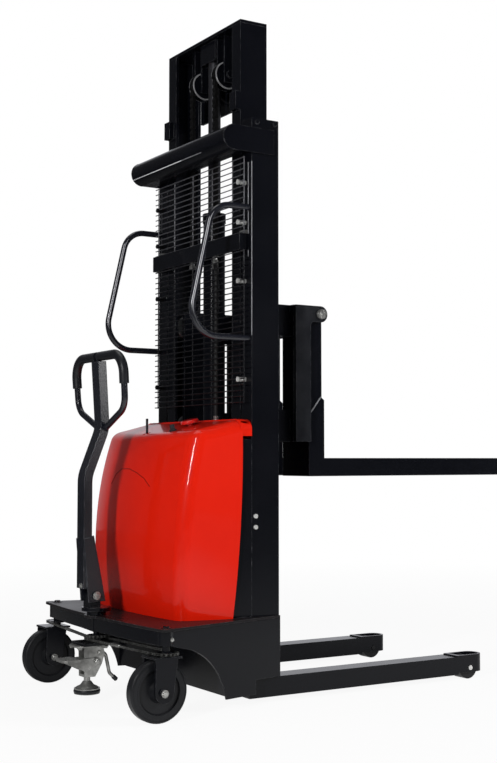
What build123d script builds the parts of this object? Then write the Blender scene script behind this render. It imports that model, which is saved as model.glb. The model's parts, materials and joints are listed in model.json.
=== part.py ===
from build123d import *
import math
import os

# Semi-electric stacker: a walk-behind lifter with a two-stage mast over straddle legs.
# Millimetres. X runs forward from the caster axle, Y to the left, Z up from the floor.
# save() shifts every piece along X, so that the origin is under the middle of the machine.

SIDES = ((1, "left"), (-1, "right"))
RUN_GAP = 0.05  # radial clearance of a running fit

# Reach along X
PEDAL_TIP_X = -131.0
FORK_TIP_X = 1721.0
FRAME_SHIFT = -(PEDAL_TIP_X + FORK_TIP_X) / 2

# Deck and chassis
DECK_TOP = 268.0
DECK_THICK = 8.0
DECK_UNDER = DECK_TOP - DECK_THICK
DECK_CORNER = (0.0, 435.0)
DECK_REAR_X = -26.0
DECK_CORNER_R = 18.0
SKIRT_LOW = 218.0
SKIRT_CORNER = (7.0, 400.0)
DECK_LOBE_R = 38.0
SKIRT_REAR_X = -18.0
PLATE = 6.0
SIDE_REAR = (12.6, 424.0)
SIDE_FRONT = (472.0, 318.0)
SIDE_FOOT_Z = 38.0
SIDE_STEP = (368.0, 81.0)
ARCH = ((79.0, 206.0), (192.0, 146.0), (247.0, SIDE_FOOT_Z))
BASE_X = (250.0, 258.0)
BASE_HALF = 360.0
BASE_LOW = 45.0
BEAM_X = (376.0, 468.0)

# Straddle legs and load wheels
LEG_Y = (237.0, 310.0)
LEG_Z = (18.6, 79.2)
LEG_X = (365.0, 1205.0)
LEG_MID = sum(LEG_Y) / 2
TIP_X = (1199.0, 1320.0)
TIP_Z = (24.0, 83.0)
TIP_R = 34.0
LOAD_WHEEL_X = 1256.0
LOAD_WHEEL_R = 39.0
LOAD_WHEEL_HALF = 27.5
LOAD_PIN_R = 8.0
SLOT_X = (1215.5, 1312.0)
SLOT_HALF = 29.0
SLOT_R = 27.0

# Steered casters and steering
CASTER_X = 30.0
CASTER_Y = 394.0
CASTER_R = 90.0
CASTER_BEARING_R = 25.0
CASTER_STEM_R = 12.5
CASTER_AXLE_R = 8.0
HUB_HALF = 31.0
HUB_R = 26.0
DISC_HALF = 12.0
TYRE_HALF = 18.0
TYRE_FOOT_R = 68.0
YOKE_INNER = 34.0
YOKE_PLATE = 8.0
YOKE_TOP = (184.0, 190.0)
YOKE_EYE_X = 4.0
YOKE_EYE_R = 30.0
YOKE_LEG_X = (-24.0, 47.0)
YOKE_TOP_X = (-28.0, 60.0)
AXLE_NUT = (13.0, 9.0)
SPROCKET_R = 28.0
CHAIN_IN = 29.0
CHAIN_OUT = 36.0
CHAIN_Z = {"right": (192.0, 198.0), "left": (200.0, 206.0)}

# Tiller
TILLER_X = -8.0
TURRET_R = 46.0
TURRET_NECK = (30.0, 281.0)
TURRET_STEM_R = 9.0
TURRET_BEARING_R = 12.0
TURRET_Z = (DECK_TOP + 0.4, 292.0)
TILT_X = -23.0
TILT_Z = 330.0
LUG_R = 18.0
LUG_HALF = 24.5
TILT_PIN_R = 8.0
POST_SIZE = (28.0, 50.0)
POST_WALL = 3.0
POST_ROUTE = ((-50.0, 352.0), (-50.0, 700.0), (8.0, 850.0), (-5.62, 1062.0))
POST_BEND_R = 110.0
CHEEK = ((-65.0, 505.0), (-32.0, 516.0), (9.0, 312.0), (-48.0, 310.0))
CHEEK_PLATE = 6.0
LOOP_R = 10.0
LOOP_LOW = (171.0, 62.0)
LOOP_TOP = (176.0, 228.0)
LOOP_BENDS = (56.0, 62.0)
GRIP_R = 15.0
GRIP_LOW = 135.0
GRIP_END = 9.0
NECK = (12.0, 14.0)

# Outer and inner mast
MAST_X = (372.0, 472.0)
FLANGE = 10.0
OUTER_Y = (251.0, 311.0)
OUTER_Z = (LEG_Z[1], 1830.0)
INNER_Y = (190.0, 242.0)
INNER_Z = (430.0, 2157.0)
WEB = 8.0
MAST_TOP_BOLTS = ((391.0, 1817.0), (458.0, 1818.0))
BAY_BOLTS = ((385.0, 577.0), (385.0, 543.0))
BOLT_R = 7.0
BOLT_HEAD = 5.0
ROLLER_X = 422.0
ROLLER_R = 39.5
ROLLER_PIN_R = 10.0
INNER_ROLLER_Z = 480.0
INNER_ROLLER_Y = (252.0, 290.0)
PAD_Z = (1770.0, 1820.0)
STOP_BLOCK_X = (354.0, 372.0)
STOP_BLOCK_Y = (205.0, 242.0)
STOP_BLOCK_Z = (1872.0, 1931.0)
HOOD_NOSE = (304.0, 1757.0)
HOOD_R = 40.0
HOOD_SHEET = 4.0
HOOD_FRONT = 350.0
HOOD_END_FRONT = 451.0
ANCHOR_X = (338.0, 350.0)
ANCHOR_Z = (1410.0, 1462.0)
ANCHOR_HALF = 293.0
LUG_Z = (1430.0, 1450.0)
LUG_WIDE = 16.0
ANCHOR_BOLT_R = 7.0
ANCHOR_BOLT_ENDS = (24.0, 25.0)
ANCHOR_NUT = (12.0, 12.0)

# Lift cylinder, chains and pulleys
CYLINDER_X = 417.0
BARREL_R = (36.5, 30.0)
BARREL_Z = (LEG_Z[1], 1545.0)
GLAND_R = 39.0
GLAND_TOP = 1575.0
ROD_R = 21.0
ROD_Z = (500.0, 2090.0)
PISTON_R = 29.5
PISTON_THICK = 40.0
PULLEY_X = 415.0
PULLEY_Z = 2028.0
PULLEY_Y = 76.0
PULLEY_PIN_R = 12.0
PULLEY_HALF = 14.0
PULLEY_RIM_R = 46.0
PULLEY_GROOVE_R = 33.6
BRACKET_Y = ((49.0, 57.0), (95.0, 103.0))
BRACKET_X = (395.0, 435.0)
BRACKET_LOW = 2000.0
PIN_END = 110.0
HEAD_PLATE = 10.0
HEAD_APRON = (172.0, 1925.0)
CROSSHEAD_X = (390.0, 444.0)
CHAIN_HALF = 10.0
LIFT_CHAIN_R = (34.0, 44.0)
REAR_CHAIN_LOW = 1475.0
FRONT_CHAIN_LOW = 871.0

# Carriage and forks
CARRIAGE_X = 598.0
CARRIAGE_SIDE_Y = (207.0, 222.0)
CARRIAGE_SIDE_FRONT = 657.0
EAR_FILLET = 14.0
UPPER_BAR_Z = (1157.0, 1261.0)
LOWER_BAR_Z = (811.0, 915.0)
UPPER_BAR_DEPTH = 20.0
LOWER_BAR_DEPTH = 60.0
ARM_Y = (174.0, 187.0)
ARM_X = (400.0, 555.0)
CARRIAGE_ROLLER_Y = (195.0, 232.0)
CARRIAGE_ROLLER_Z = {"upper": 1210.0, "lower": 865.0}
EYE = (697.0, 1233.0)
EYE_R = 27.0
FORK_BAR_R = 16.0
FORK_Y = (47.0, 205.0)
FORK_REAR = 660.0
SHANK_FRONT = 711.0
HEEL_FRONT = 721.5
HEEL_TOP = 957.0
HEEL_STEP = 8.0
BLADE_Z = (697.0, 757.0)
FORK_WALL = 8.0
TAPER_X = 1500.0
TIP_UNDER_Z = 733.0
TIP_PLAN_R = 45.0

# Guard mesh and grab handles
MESH_X = 347.0
MESH_WIRE = 3.5
MESH_THICK = 4.0
MESH_PITCH = 18.25
MESH_PANELS = ((930.0, 26, (4, 21)), (1463.0, 13, (2, 9)))
MESH_UPRIGHTS = (-300.0, -230.0, -101.0, 28.0, 157.0, 275.0)
MESH_STUB = 291.0
MESH_NOTCH = 15.0
CLIP_Y = 273.0
CLIP_STEM_R = 7.0
CLIP_R = 8.0
CLIP_HEAD = 5.0
HANDLE_Y = 296.0
HANDLE_R = 10.0
HANDLE_ROUTE = ((MAST_X[0], 1545.0), (240.0, 1545.0), (145.0, 1131.0), (MAST_X[0], 1131.0))
HANDLE_BENDS = (76.0, 88.0)

# Rear cover and what it holds
COVER_SKIN = 4.0
COVER_FOOT = {
    "rear": 112.0, "front": 298.0, "rear_half": 288.0, "front_half": 322.0, "bulge": 18.0, "corner": 42.0
}
COVER_WAIST = {
    "rear": 90.0, "front": 324.0, "rear_half": 310.0, "front_half": 325.0, "bulge": 38.0, "corner": 45.0
}
COVER_CROWN = {
    "rear": 149.0, "front": 333.0, "rear_half": 299.0, "front_half": 321.0, "bulge": 33.0, "corner": 55.0
}
COVER_WAIST_Z = 550.0
CROWN_R = 40.0
CROWN_Z0 = 796.1
CROWN_SLOPE = 0.242
LIP_X = (327.0, 371.0)
LIP_Z = (825.0, 878.0)
LIP_HALF = (320.5, 314.5)
LIP_R = 34.0
LIP_SKIN = 7.0
LEVER_AT = (170.0, 6.0)
LEVER_PIVOT_Z = 822.0
LEVER_PIN_R = 3.0
LEVER_HUB_R = 7.0
LEVER_R = 4.0
LEVER_LONG = 62.0
LEVER_LUGS = (9.0, 13.0)
KEY_AT = (187.0, -140.0)
KEY_DEEP = 14.0
KEY_GAP = 0.5
KEY_COLLAR = (12.0, 5.0)
KEY_BOW = (16.0, 3.0)
STOP_AT = (274.0, -96.0)
SWITCH_R = 8.0
SWITCH_DEEP = 18.0
STOP_RISE = 7.5
STOP_HEAD_R = 29.0
STOP_HEAD = 10.0
BAY_X = (290.0, MAST_X[0])
BAY_Y = (305.0, 311.0)
BAY_TOP = 815.0
HOSE_R = 8.0
HOSE_AT = (362.0, -108.0)
HOSE_TOP = 1392.0
HOSE_BEND_R = 50.0
FITTING_R = 11.0
FITTING_LONG = 14.0

# Power pack
BATTERY_X = (130.0, 295.0)
BATTERY_HALF = 170.0
BATTERY_TOP = 480.0
TERMINAL_AT = (250.0, 120.0)
TERMINAL_R = 9.0
TERMINAL_TOP = 498.0
PUMP_AT = (215.0, -232.0)
PUMP_R = 48.0
PUMP_TOP = 430.0
PUMP_FLANGE = (52.0, 446.0)
VALVE_HALF = 35.0
VALVE_TOP = 505.0
TANK_X = (180.0, 285.0)
TANK_Y = (180.0, 272.0)
TANK_TOP = 470.0
TANK_R = 12.0
FILLER_R = 20.0
FILLER_TOP = 488.0

# Floor lock
LOCK_PLATE_Z = (173.0, 178.0)
LOCK_ROD_X = -38.0
LOCK_ROD_R = 10.0
LOCK_CHEEK_Y = (18.0, 22.0)
LOCK_LOW = 80.0
LOCK_GUIDE_X = (-56.0, -20.0)
LOCK_GUIDE = 8.0
LOCK_CHEEK = (
    (-58.0, 173.0),
    (6.0, 173.0),
    (12.0, 150.0),
    (2.0, 118.0),
    (-20.0, LOCK_LOW),
    (-56.0, LOCK_LOW),
)
LOCK_PLATE_X = (-88.0, 22.0)
LOCK_PLATE_HALF = 40.0
LOCK_PLATE_R = 22.0
LOCK_BRACKET_X = (-70.0, 36.0, 44.0)
LOCK_BRACKET_HALF = 50.0
LOCK_FOOT = ((40.0, 28.0, 45.0), (20.0, 45.0, 52.0), (LOCK_ROD_R, 45.0, 150.0))
PEDAL_ARM = ((-126.0, 131.0), (-62.0, 138.0), (-8.0, 138.0), (-16.0, 116.0), (-52.0, 96.0))
PEDAL_ARM_Y = (22.5, 26.5)
PEDAL_HUB_R = 12.0
TREAD_X = (PEDAL_TIP_X, -76.0)
TREAD_HALF = 36.0
TREAD_Z = (130.0, 138.0)
TREAD_R = 14.0
PEDAL_PIVOT = (-16.0, 128.0)
RELEASE_PIVOT = (-6.0, 153.0)
RELEASE_ROUTE = (RELEASE_PIVOT, (24.0, 146.0), (38.0, 84.0), (62.0, 62.0))
RELEASE_BENDS = (16.0, 18.0)
RELEASE_R = 5.5
RELEASE_HUB = (9.0, 11.0)
LOCK_PIN_R = 5.0


def save(label, part):
    """Move a finished piece into the machine's frame, name it and write it."""
    piece = part.moved(Location((FRAME_SHIFT, 0, 0)))
    piece.label = label
    export_step(piece, f"parts/{label}.step")


def block(x, y, z, mode=Mode.ADD):
    """A box between the two ends given on each axis."""
    ends = (x, y, z)
    with Locations(tuple((a + b) / 2 for a, b in ends)):
        Box(*(abs(b - a) for a, b in ends), mode=mode)


def bar_x(y, z, ends, radius, mode=Mode.ADD):
    """A round bar along X between two ends."""
    with Locations((sum(ends) / 2, y, z)):
        Cylinder(radius, abs(ends[1] - ends[0]), rotation=(0, 90, 0), mode=mode)


def bar_y(x, z, ends, radius, mode=Mode.ADD):
    """A round bar along Y between two ends."""
    with Locations((x, sum(ends) / 2, z)):
        Cylinder(radius, abs(ends[1] - ends[0]), rotation=(90, 0, 0), mode=mode)


def bar_z(x, y, ends, radius, mode=Mode.ADD):
    """A round bar along Z between two ends."""
    with Locations((x, y, sum(ends) / 2)):
        Cylinder(radius, abs(ends[1] - ends[0]), mode=mode)


def facing(y):
    """The upright plane at y that is seen from the right: an extrusion grows towards -Y."""
    return Plane.XZ.offset(-y)


def turned(centre, profile):
    """A piece turned about an axis along Y, from points of (offset along Y, radius)."""
    with BuildPart() as piece:
        with BuildSketch(Plane(origin=centre, x_dir=(0, 1, 0), z_dir=(1, 0, 0))):
            with BuildLine():
                Polyline(*profile, close=True)
            make_face()
        revolve(axis=Axis(centre, (0, 1, 0)))
    return piece.part


def roller(centre, ends, radius, bore):
    """A plain roller with chamfered rims, between two ends along Y."""
    low, high = (end - centre[1] for end in sorted(ends))
    rim = 2.0
    return turned(
        centre,
        (
            (low, bore),
            (high, bore),
            (high, radius - rim),
            (high - rim, radius),
            (low + rim, radius),
            (low, radius - rim),
        ),
    )


def crown_z(x):
    """Height of the cover's sloping top at x."""
    return CROWN_Z0 + CROWN_SLOPE * x


def crown_plane(at):
    """A plane on the cover's top at (x, y), with its normal square to the top."""
    x, y = at
    return Plane(origin=(x, y, crown_z(x)), x_dir=(1, 0, CROWN_SLOPE), z_dir=(-CROWN_SLOPE, 0, 1))


os.makedirs("parts", exist_ok=True)

side_run = SIDE_FRONT[0] - SIDE_REAR[0]
side_drop = SIDE_REAR[1] - SIDE_FRONT[1]
side_angle = math.atan2(side_drop, side_run)
deck_front_y = SIDE_FRONT[1]
deck_notch_x = MAST_X[0] - 1.0

# Deck plate: bowed rear edge, a round tab under the tiller, a notch for the mast
with BuildPart() as deck_plate:
    with BuildSketch(Plane.XY.offset(DECK_UNDER)) as deck_outline:
        with BuildLine():
            bow = ThreePointArc(
                (DECK_CORNER[0], -DECK_CORNER[1]), (DECK_REAR_X, 0), DECK_CORNER
            )
            Polyline(
                bow @ 1,
                (MAST_X[1], deck_front_y),
                (MAST_X[1], OUTER_Y[1]),
                (deck_notch_x, OUTER_Y[1]),
                (deck_notch_x, -OUTER_Y[1]),
                (MAST_X[1], -OUTER_Y[1]),
                (MAST_X[1], -deck_front_y),
                bow @ 0,
            )
        make_face()
        corners = deck_outline.vertices().filter_by_position(Axis.X, DECK_CORNER[0] - 1, DECK_CORNER[0] + 1)
        fillet(corners, radius=DECK_CORNER_R)
        with Locations((TILLER_X, 0)):
            Circle(DECK_LOBE_R)
            Circle(TURRET_STEM_R + 0.5, mode=Mode.SUBTRACT)
    extrude(amount=DECK_THICK)
save("deck_plate", deck_plate.part)

# Rear skirt with the caster and tiller bearing tubes
with BuildPart() as deck_skirt:
    with BuildSketch(Plane.XY.offset(SKIRT_LOW)):
        with BuildLine():
            outer_bow = ThreePointArc(
                (SKIRT_CORNER[0], -SKIRT_CORNER[1]), (SKIRT_REAR_X, 0), SKIRT_CORNER
            )
            inner_bow = ThreePointArc(
                (SKIRT_CORNER[0] + PLATE, SKIRT_CORNER[1]),
                (SKIRT_REAR_X + PLATE, 0),
                (SKIRT_CORNER[0] + PLATE, -SKIRT_CORNER[1]),
            )
            Line(outer_bow @ 1, inner_bow @ 0)
            Line(inner_bow @ 1, outer_bow @ 0)
        make_face()
        with Locations((CASTER_X, CASTER_Y), (CASTER_X, -CASTER_Y)):
            Circle(CASTER_BEARING_R)
        with Locations((TILLER_X, 0)):
            Circle(TURRET_BEARING_R)
        with Locations((CASTER_X, CASTER_Y), (CASTER_X, -CASTER_Y)):
            Circle(CASTER_STEM_R + RUN_GAP, mode=Mode.SUBTRACT)
        with Locations((TILLER_X, 0)):
            Circle(TURRET_STEM_R + RUN_GAP, mode=Mode.SUBTRACT)
    extrude(amount=DECK_UNDER - SKIRT_LOW)
save("deck_skirt", deck_skirt.part)

# Side plates: flat, running in towards the mast, arched over the casters
along = 1 / math.cos(side_angle)
for side, name in SIDES:
    side_plane = Plane(
        origin=(SIDE_REAR[0], side * SIDE_REAR[1], 0),
        x_dir=(math.cos(side_angle), -side * math.sin(side_angle), 0),
        z_dir=(-side * math.sin(side_angle), -math.cos(side_angle), 0),
    )
    arch = [((x - SIDE_REAR[0]) * along, z) for x, z in ARCH]
    start = (CASTER_X - SIDE_REAR[0]) * along
    end = side_run * along
    step = (SIDE_STEP[0] - SIDE_REAR[0]) * along
    with BuildPart() as side_plate:
        with BuildSketch(side_plane):
            with BuildLine():
                opening = ThreePointArc(*arch)
                Polyline(
                    opening @ 1,
                    (step, SIDE_FOOT_Z),
                    (step, SIDE_STEP[1]),
                    (end, SIDE_STEP[1]),
                    (end, DECK_UNDER),
                    (start, DECK_UNDER),
                    (start, SKIRT_LOW),
                    opening @ 0,
                )
            make_face()
        extrude(amount=side * PLATE)
        tube_z = (SKIRT_LOW - 1, DECK_UNDER + 1)
        bar_z(CASTER_X, side * CASTER_Y, tube_z, CASTER_BEARING_R + RUN_GAP, Mode.SUBTRACT)
    save(f"side_plate_{name}", side_plate.part)

# Cross plate behind the legs, floor plate and box beam under the mast
with BuildPart() as base_beam:
    block(BASE_X, (-BASE_HALF, BASE_HALF), (BASE_LOW, DECK_UNDER))
    beam_half = (-LEG_Y[0], LEG_Y[0])
    block((BASE_X[1], BEAM_X[0]), beam_half, (BASE_LOW, BASE_LOW + PLATE))
    block(BEAM_X, beam_half, (BASE_LOW, LEG_Z[1]))
    beam_void_x = (BEAM_X[0] + PLATE, BEAM_X[1] - PLATE)
    beam_void_z = (BASE_LOW + PLATE, LEG_Z[1] - PLATE)
    block(beam_void_x, beam_half, beam_void_z, Mode.SUBTRACT)
save("base_beam", base_beam.part)

# Straddle legs: closed box tubes with a slotted tip for the load wheel
for side, name in SIDES:
    y_pair = (side * LEG_Y[0], side * LEG_Y[1])
    y_void = (side * (LEG_Y[0] + PLATE), side * (LEG_Y[1] - PLATE))
    slot_y = (side * LEG_MID - SLOT_HALF, side * LEG_MID + SLOT_HALF)
    with BuildPart() as leg:
        block(TIP_X, y_pair, TIP_Z)
        nose = leg.edges().filter_by(Axis.Z).group_by(Axis.X)[-1]
        fillet(nose, radius=TIP_R)
        block(LEG_X, y_pair, LEG_Z)
        void_x = (LEG_X[0] + PLATE, TIP_X[0])
        block(void_x, y_void, (LEG_Z[0] + PLATE, LEG_Z[1] - PLATE), Mode.SUBTRACT)
        with BuildSketch() as slot:
            with Locations((sum(SLOT_X) / 2, sum(slot_y) / 2)):
                Rectangle(SLOT_X[1] - SLOT_X[0], 2 * SLOT_HALF)
            fillet(slot.vertices().group_by(Axis.X)[-1], radius=SLOT_R)
        extrude(amount=TIP_Z[1], mode=Mode.SUBTRACT)
        bar_y(LOAD_WHEEL_X, LOAD_WHEEL_R, y_pair, LOAD_PIN_R + RUN_GAP, Mode.SUBTRACT)
    save(f"leg_{name}", leg.part)

    wheel_at = (LOAD_WHEEL_X, side * LEG_MID, LOAD_WHEEL_R)
    wheel_ends = (wheel_at[1] - LOAD_WHEEL_HALF, wheel_at[1] + LOAD_WHEEL_HALF)
    save(
        f"load_wheel_{name}",
        roller(wheel_at, wheel_ends, LOAD_WHEEL_R, LOAD_PIN_R + RUN_GAP),
    )

# Mast channels; the inner pair carries stop blocks and the stub pins of its lower rollers
for side, name in SIDES:
    with BuildPart() as outer_mast:
        block(MAST_X, (side * OUTER_Y[0], side * OUTER_Y[1]), OUTER_Z)
        void_x = (MAST_X[0] + FLANGE, MAST_X[1] - FLANGE)
        block(void_x, (side * (OUTER_Y[0] - 1), side * (OUTER_Y[1] - WEB)), OUTER_Z, Mode.SUBTRACT)
        bolt_ends = (side * (OUTER_Y[1] - WEB / 2), side * (OUTER_Y[1] + BOLT_HEAD))
        for bolt_x, bolt_z in MAST_TOP_BOLTS:
            bar_y(bolt_x, bolt_z, bolt_ends, BOLT_R)
    save(f"outer_mast_{name}", outer_mast.part)

    with BuildPart() as inner_mast:
        block(MAST_X, (side * INNER_Y[0], side * INNER_Y[1]), INNER_Z)
        block(void_x, (side * (INNER_Y[0] - 1), side * (INNER_Y[1] - WEB)), INNER_Z, Mode.SUBTRACT)
        pin_ends = (side * (INNER_Y[1] - WEB), side * (INNER_ROLLER_Y[1] + 4))
        bar_y(ROLLER_X, INNER_ROLLER_Z, pin_ends, ROLLER_PIN_R)
        block(STOP_BLOCK_X, (side * STOP_BLOCK_Y[0], side * STOP_BLOCK_Y[1]), STOP_BLOCK_Z)
    save(f"inner_mast_{name}", inner_mast.part)

with BuildPart() as inner_mast_rollers:
    for side, name in SIDES:
        ends = (side * INNER_ROLLER_Y[0], side * INNER_ROLLER_Y[1])
        centre = (ROLLER_X, sum(ends) / 2, INNER_ROLLER_Z)
        add(roller(centre, ends, ROLLER_R, ROLLER_PIN_R + RUN_GAP))
save("inner_mast_rollers", inner_mast_rollers.part)

# Nylon pads that guide the inner mast at the head of the outer one
with BuildPart() as mast_guide_pads:
    for side, name in SIDES:
        pad_y = (side * (INNER_Y[1] + 0.5), side * (OUTER_Y[1] - WEB))
        block((MAST_X[0] + FLANGE + 2, MAST_X[1] - FLANGE - 2), pad_y, PAD_Z)
save("mast_guide_pads", mast_guide_pads.part)

# Hood: bent sheet with a round nose across the mast, and its two end plates
with BuildPart() as mast_hood:
    hood_z = HOOD_NOSE[1]
    with BuildSketch(facing(OUTER_Y[1])):
        for inset, mode in ((0, Mode.ADD), (HOOD_SHEET, Mode.SUBTRACT)):
            with Locations(((HOOD_NOSE[0] + HOOD_FRONT) / 2, hood_z)):
                Rectangle(HOOD_FRONT - HOOD_NOSE[0], 2 * (HOOD_R - inset), mode=mode)
            with Locations(HOOD_NOSE):
                Circle(HOOD_R - inset, mode=mode)
    extrude(amount=2 * OUTER_Y[1])
    for plate_y in (OUTER_Y[1] + WEB, -OUTER_Y[1]):
        with BuildSketch(facing(plate_y)):
            with Locations(((HOOD_NOSE[0] + HOOD_END_FRONT) / 2, hood_z)):
                Rectangle(HOOD_END_FRONT - HOOD_NOSE[0], 2 * HOOD_R)
            with Locations(HOOD_NOSE):
                Circle(HOOD_R)
        extrude(amount=WEB)
save("mast_hood", mast_hood.part)

# Crossbar that holds the fixed ends of the lift chains
chain_rear_x = PULLEY_X - sum(LIFT_CHAIN_R) / 2
with BuildPart() as anchor_crossbar:
    block(ANCHOR_X, (-ANCHOR_HALF, ANCHOR_HALF), ANCHOR_Z)
    for side, name in SIDES:
        block((ANCHOR_X[1], MAST_X[0]), (side * OUTER_Y[0], side * ANCHOR_HALF), ANCHOR_Z)
        lug_y = (side * (PULLEY_Y - LUG_WIDE), side * (PULLEY_Y + LUG_WIDE))
        block((ANCHOR_X[1], chain_rear_x + 14), lug_y, LUG_Z)
        bar_z(chain_rear_x, side * PULLEY_Y, LUG_Z, ANCHOR_BOLT_R + RUN_GAP, Mode.SUBTRACT)
save("anchor_crossbar", anchor_crossbar.part)

# Guard mesh: two flat nets, stub ends on the left, notched round the grab handles
with BuildPart() as guard_mesh:
    for low, rows, clip_rows in MESH_PANELS:
        height = rows * MESH_PITCH + MESH_WIRE
        middle = low + height / 2
        right_edge = MESH_UPRIGHTS[0] - MESH_WIRE / 2
        with BuildSketch(Plane.YZ.offset(MESH_X)):
            with Locations(((right_edge + MESH_STUB) / 2, middle)):
                Rectangle(MESH_STUB - right_edge, height)
            bounds = (*MESH_UPRIGHTS, MESH_STUB + MESH_WIRE)
            for left, right in zip(bounds, bounds[1:]):
                with Locations(((left + right) / 2, middle)):
                    with GridLocations(0, MESH_PITCH, 1, rows):
                        Rectangle(
                            right - left - MESH_WIRE,
                            MESH_PITCH - MESH_WIRE,
                            mode=Mode.SUBTRACT,
                        )
        extrude(amount=MESH_THICK)
    mesh_x = (MESH_X - 1, MESH_X + MESH_THICK + 1)
    for side, name in SIDES:
        notch_y = (side * (HANDLE_Y - MESH_NOTCH), side * (HANDLE_Y + MESH_NOTCH))
        for handle_z in (HANDLE_ROUTE[0][1], HANDLE_ROUTE[3][1]):
            block(mesh_x, notch_y, (handle_z - MESH_NOTCH, handle_z + MESH_NOTCH), Mode.SUBTRACT)
save("guard_mesh", guard_mesh.part)

# Grab handles: bent tubes welded to the rear flanges of the outer mast
with BuildPart() as grab_handles:
    for side, name in SIDES:
        with BuildLine(facing(side * HANDLE_Y)) as handle_path:
            FilletPolyline(*HANDLE_ROUTE, radius=HANDLE_BENDS)
        start = handle_path.wires()[0]
        with BuildSketch(Plane(origin=start @ 0, z_dir=start % 0)) as handle_section:
            Circle(HANDLE_R)
        sweep(sections=handle_section.sketch, path=start)
save("grab_handles", grab_handles.part)


def cover_section(plane, sizes, inset, overrun):
    """One outline of the cover: bulging rear, flared flanks, rounded rear corners, straight front."""
    tilt = plane.x_dir.X
    shoulder = sizes["rear"] + sizes["bulge"]
    flare = (sizes["front_half"] - sizes["rear_half"]) / (sizes["front"] - shoulder)
    rear = (sizes["rear"] + inset) / tilt
    rear_corner = (shoulder + inset) / tilt
    front = (sizes["front"] + overrun) / tilt
    rear_half = sizes["rear_half"] + flare * inset - inset
    front_half = sizes["front_half"] + flare * overrun - inset
    with BuildSketch(plane) as section:
        with BuildLine():
            ThreePointArc((rear_corner, -rear_half), (rear, 0), (rear_corner, rear_half))
            Polyline(
                (rear_corner, rear_half),
                (front, front_half),
                (front, -front_half),
                (rear_corner, -rear_half),
            )
        make_face()
        fillet(section.vertices().group_by(Axis.X)[0], radius=sizes["corner"] - inset)
    return section.sketch


def cover_form(inset, overrun):
    """The cover's form drawn in by inset and run past its open foot and front."""
    foot = cover_section(Plane.XY.offset(DECK_TOP - overrun), COVER_FOOT, inset, overrun)
    waist = cover_section(Plane.XY.offset(COVER_WAIST_Z), COVER_WAIST, inset, overrun)
    crown = Plane(
        origin=(0, 0, CROWN_Z0 - inset), x_dir=(1, 0, CROWN_SLOPE), z_dir=(-CROWN_SLOPE, 0, 1)
    )
    with BuildPart() as form:
        loft(sections=[foot, waist, cover_section(crown, COVER_CROWN, inset, overrun)])
        top = form.faces().sort_by(Axis.Z)[-1]
        fillet(top.edges().sort_by(Axis.X)[:-1], radius=CROWN_R - inset)
    return form.part


# Rear cover: moulded shell, open below and in front, with a lip against the mast
cover_outside = cover_form(0, 0)
cover_inside = cover_form(COVER_SKIN, 12)
with BuildPart() as rear_cover:
    add(cover_outside)
    add(cover_inside, mode=Mode.SUBTRACT)
    with BuildSketch(Plane.XY.offset(LIP_Z[0])):
        Polygon(
            (LIP_X[0], -LIP_HALF[0]),
            (LIP_X[1], -LIP_HALF[1]),
            (LIP_X[1], LIP_HALF[1]),
            (LIP_X[0], LIP_HALF[0]),
        )
    lip = extrude(amount=LIP_Z[1] - LIP_Z[0], mode=Mode.PRIVATE)
    lip_shoulders = lip.edges().group_by(Axis.Z)[-1].filter_by(Axis.Y, reverse=True)
    add(lip.fillet(LIP_R, lip_shoulders))
    lip_void_x = (LIP_X[0] + LIP_SKIN, LIP_X[1] - LIP_SKIN)
    lip_void_z = (LIP_Z[0] - 1, LIP_Z[1] - LIP_SKIN)
    block(lip_void_x, (-BAY_Y[1], BAY_Y[1]), lip_void_z, Mode.SUBTRACT)
    lug_x = (LEVER_AT[0] - 8, LEVER_AT[0] + 8)
    lug_z = (LEVER_PIVOT_Z - 10, crown_z(LEVER_AT[0]) - COVER_SKIN)
    for side, name in SIDES:
        lug_y = tuple(LEVER_AT[1] + side * offset for offset in LEVER_LUGS)
        block(lug_x, lug_y, lug_z)
    lever_pin_half = LEVER_LUGS[1] + 1
    lever_pin_ends = (LEVER_AT[1] - lever_pin_half, LEVER_AT[1] + lever_pin_half)
    bar_y(LEVER_AT[0], LEVER_PIVOT_Z, lever_pin_ends, LEVER_PIN_R + RUN_GAP, Mode.SUBTRACT)
    slot_top = crown_z(LEVER_AT[0]) + 20
    slot_y = (LEVER_AT[1] - 6, LEVER_AT[1] + 6)
    block((LEVER_AT[0] - 14, LEVER_AT[0] + 14), slot_y, (LEVER_PIVOT_Z - 1, slot_top), Mode.SUBTRACT)
    for at in (KEY_AT, STOP_AT):
        with BuildSketch(crown_plane(at)):
            Circle(SWITCH_R + RUN_GAP)
        extrude(amount=SWITCH_DEEP, both=True, mode=Mode.SUBTRACT)
save("rear_cover", rear_cover.part)

# Controls on the cover
with BuildPart() as lift_lever:
    bar_y(LEVER_AT[0], LEVER_PIVOT_Z, lever_pin_ends, LEVER_PIN_R)
    hub_half = LEVER_LUGS[0] - 1
    bar_y(LEVER_AT[0], LEVER_PIVOT_Z, (LEVER_AT[1] - hub_half, LEVER_AT[1] + hub_half), LEVER_HUB_R)
    bar_z(*LEVER_AT, (LEVER_PIVOT_Z, LEVER_PIVOT_Z + LEVER_LONG), LEVER_R)
save("lift_lever", lift_lever.part)

with BuildPart() as key_switch:
    with BuildSketch(crown_plane(KEY_AT).offset(-KEY_DEEP)):
        Circle(SWITCH_R)
    extrude(amount=KEY_DEEP + KEY_GAP)
    with BuildSketch(crown_plane(KEY_AT).offset(KEY_GAP)):
        Circle(KEY_COLLAR[0])
    extrude(amount=KEY_COLLAR[1])
    with BuildSketch(crown_plane(KEY_AT).offset(KEY_GAP + KEY_COLLAR[1])):
        Rectangle(*KEY_BOW)
    extrude(amount=KEY_BOW[0])
save("key_switch", key_switch.part)

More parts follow.
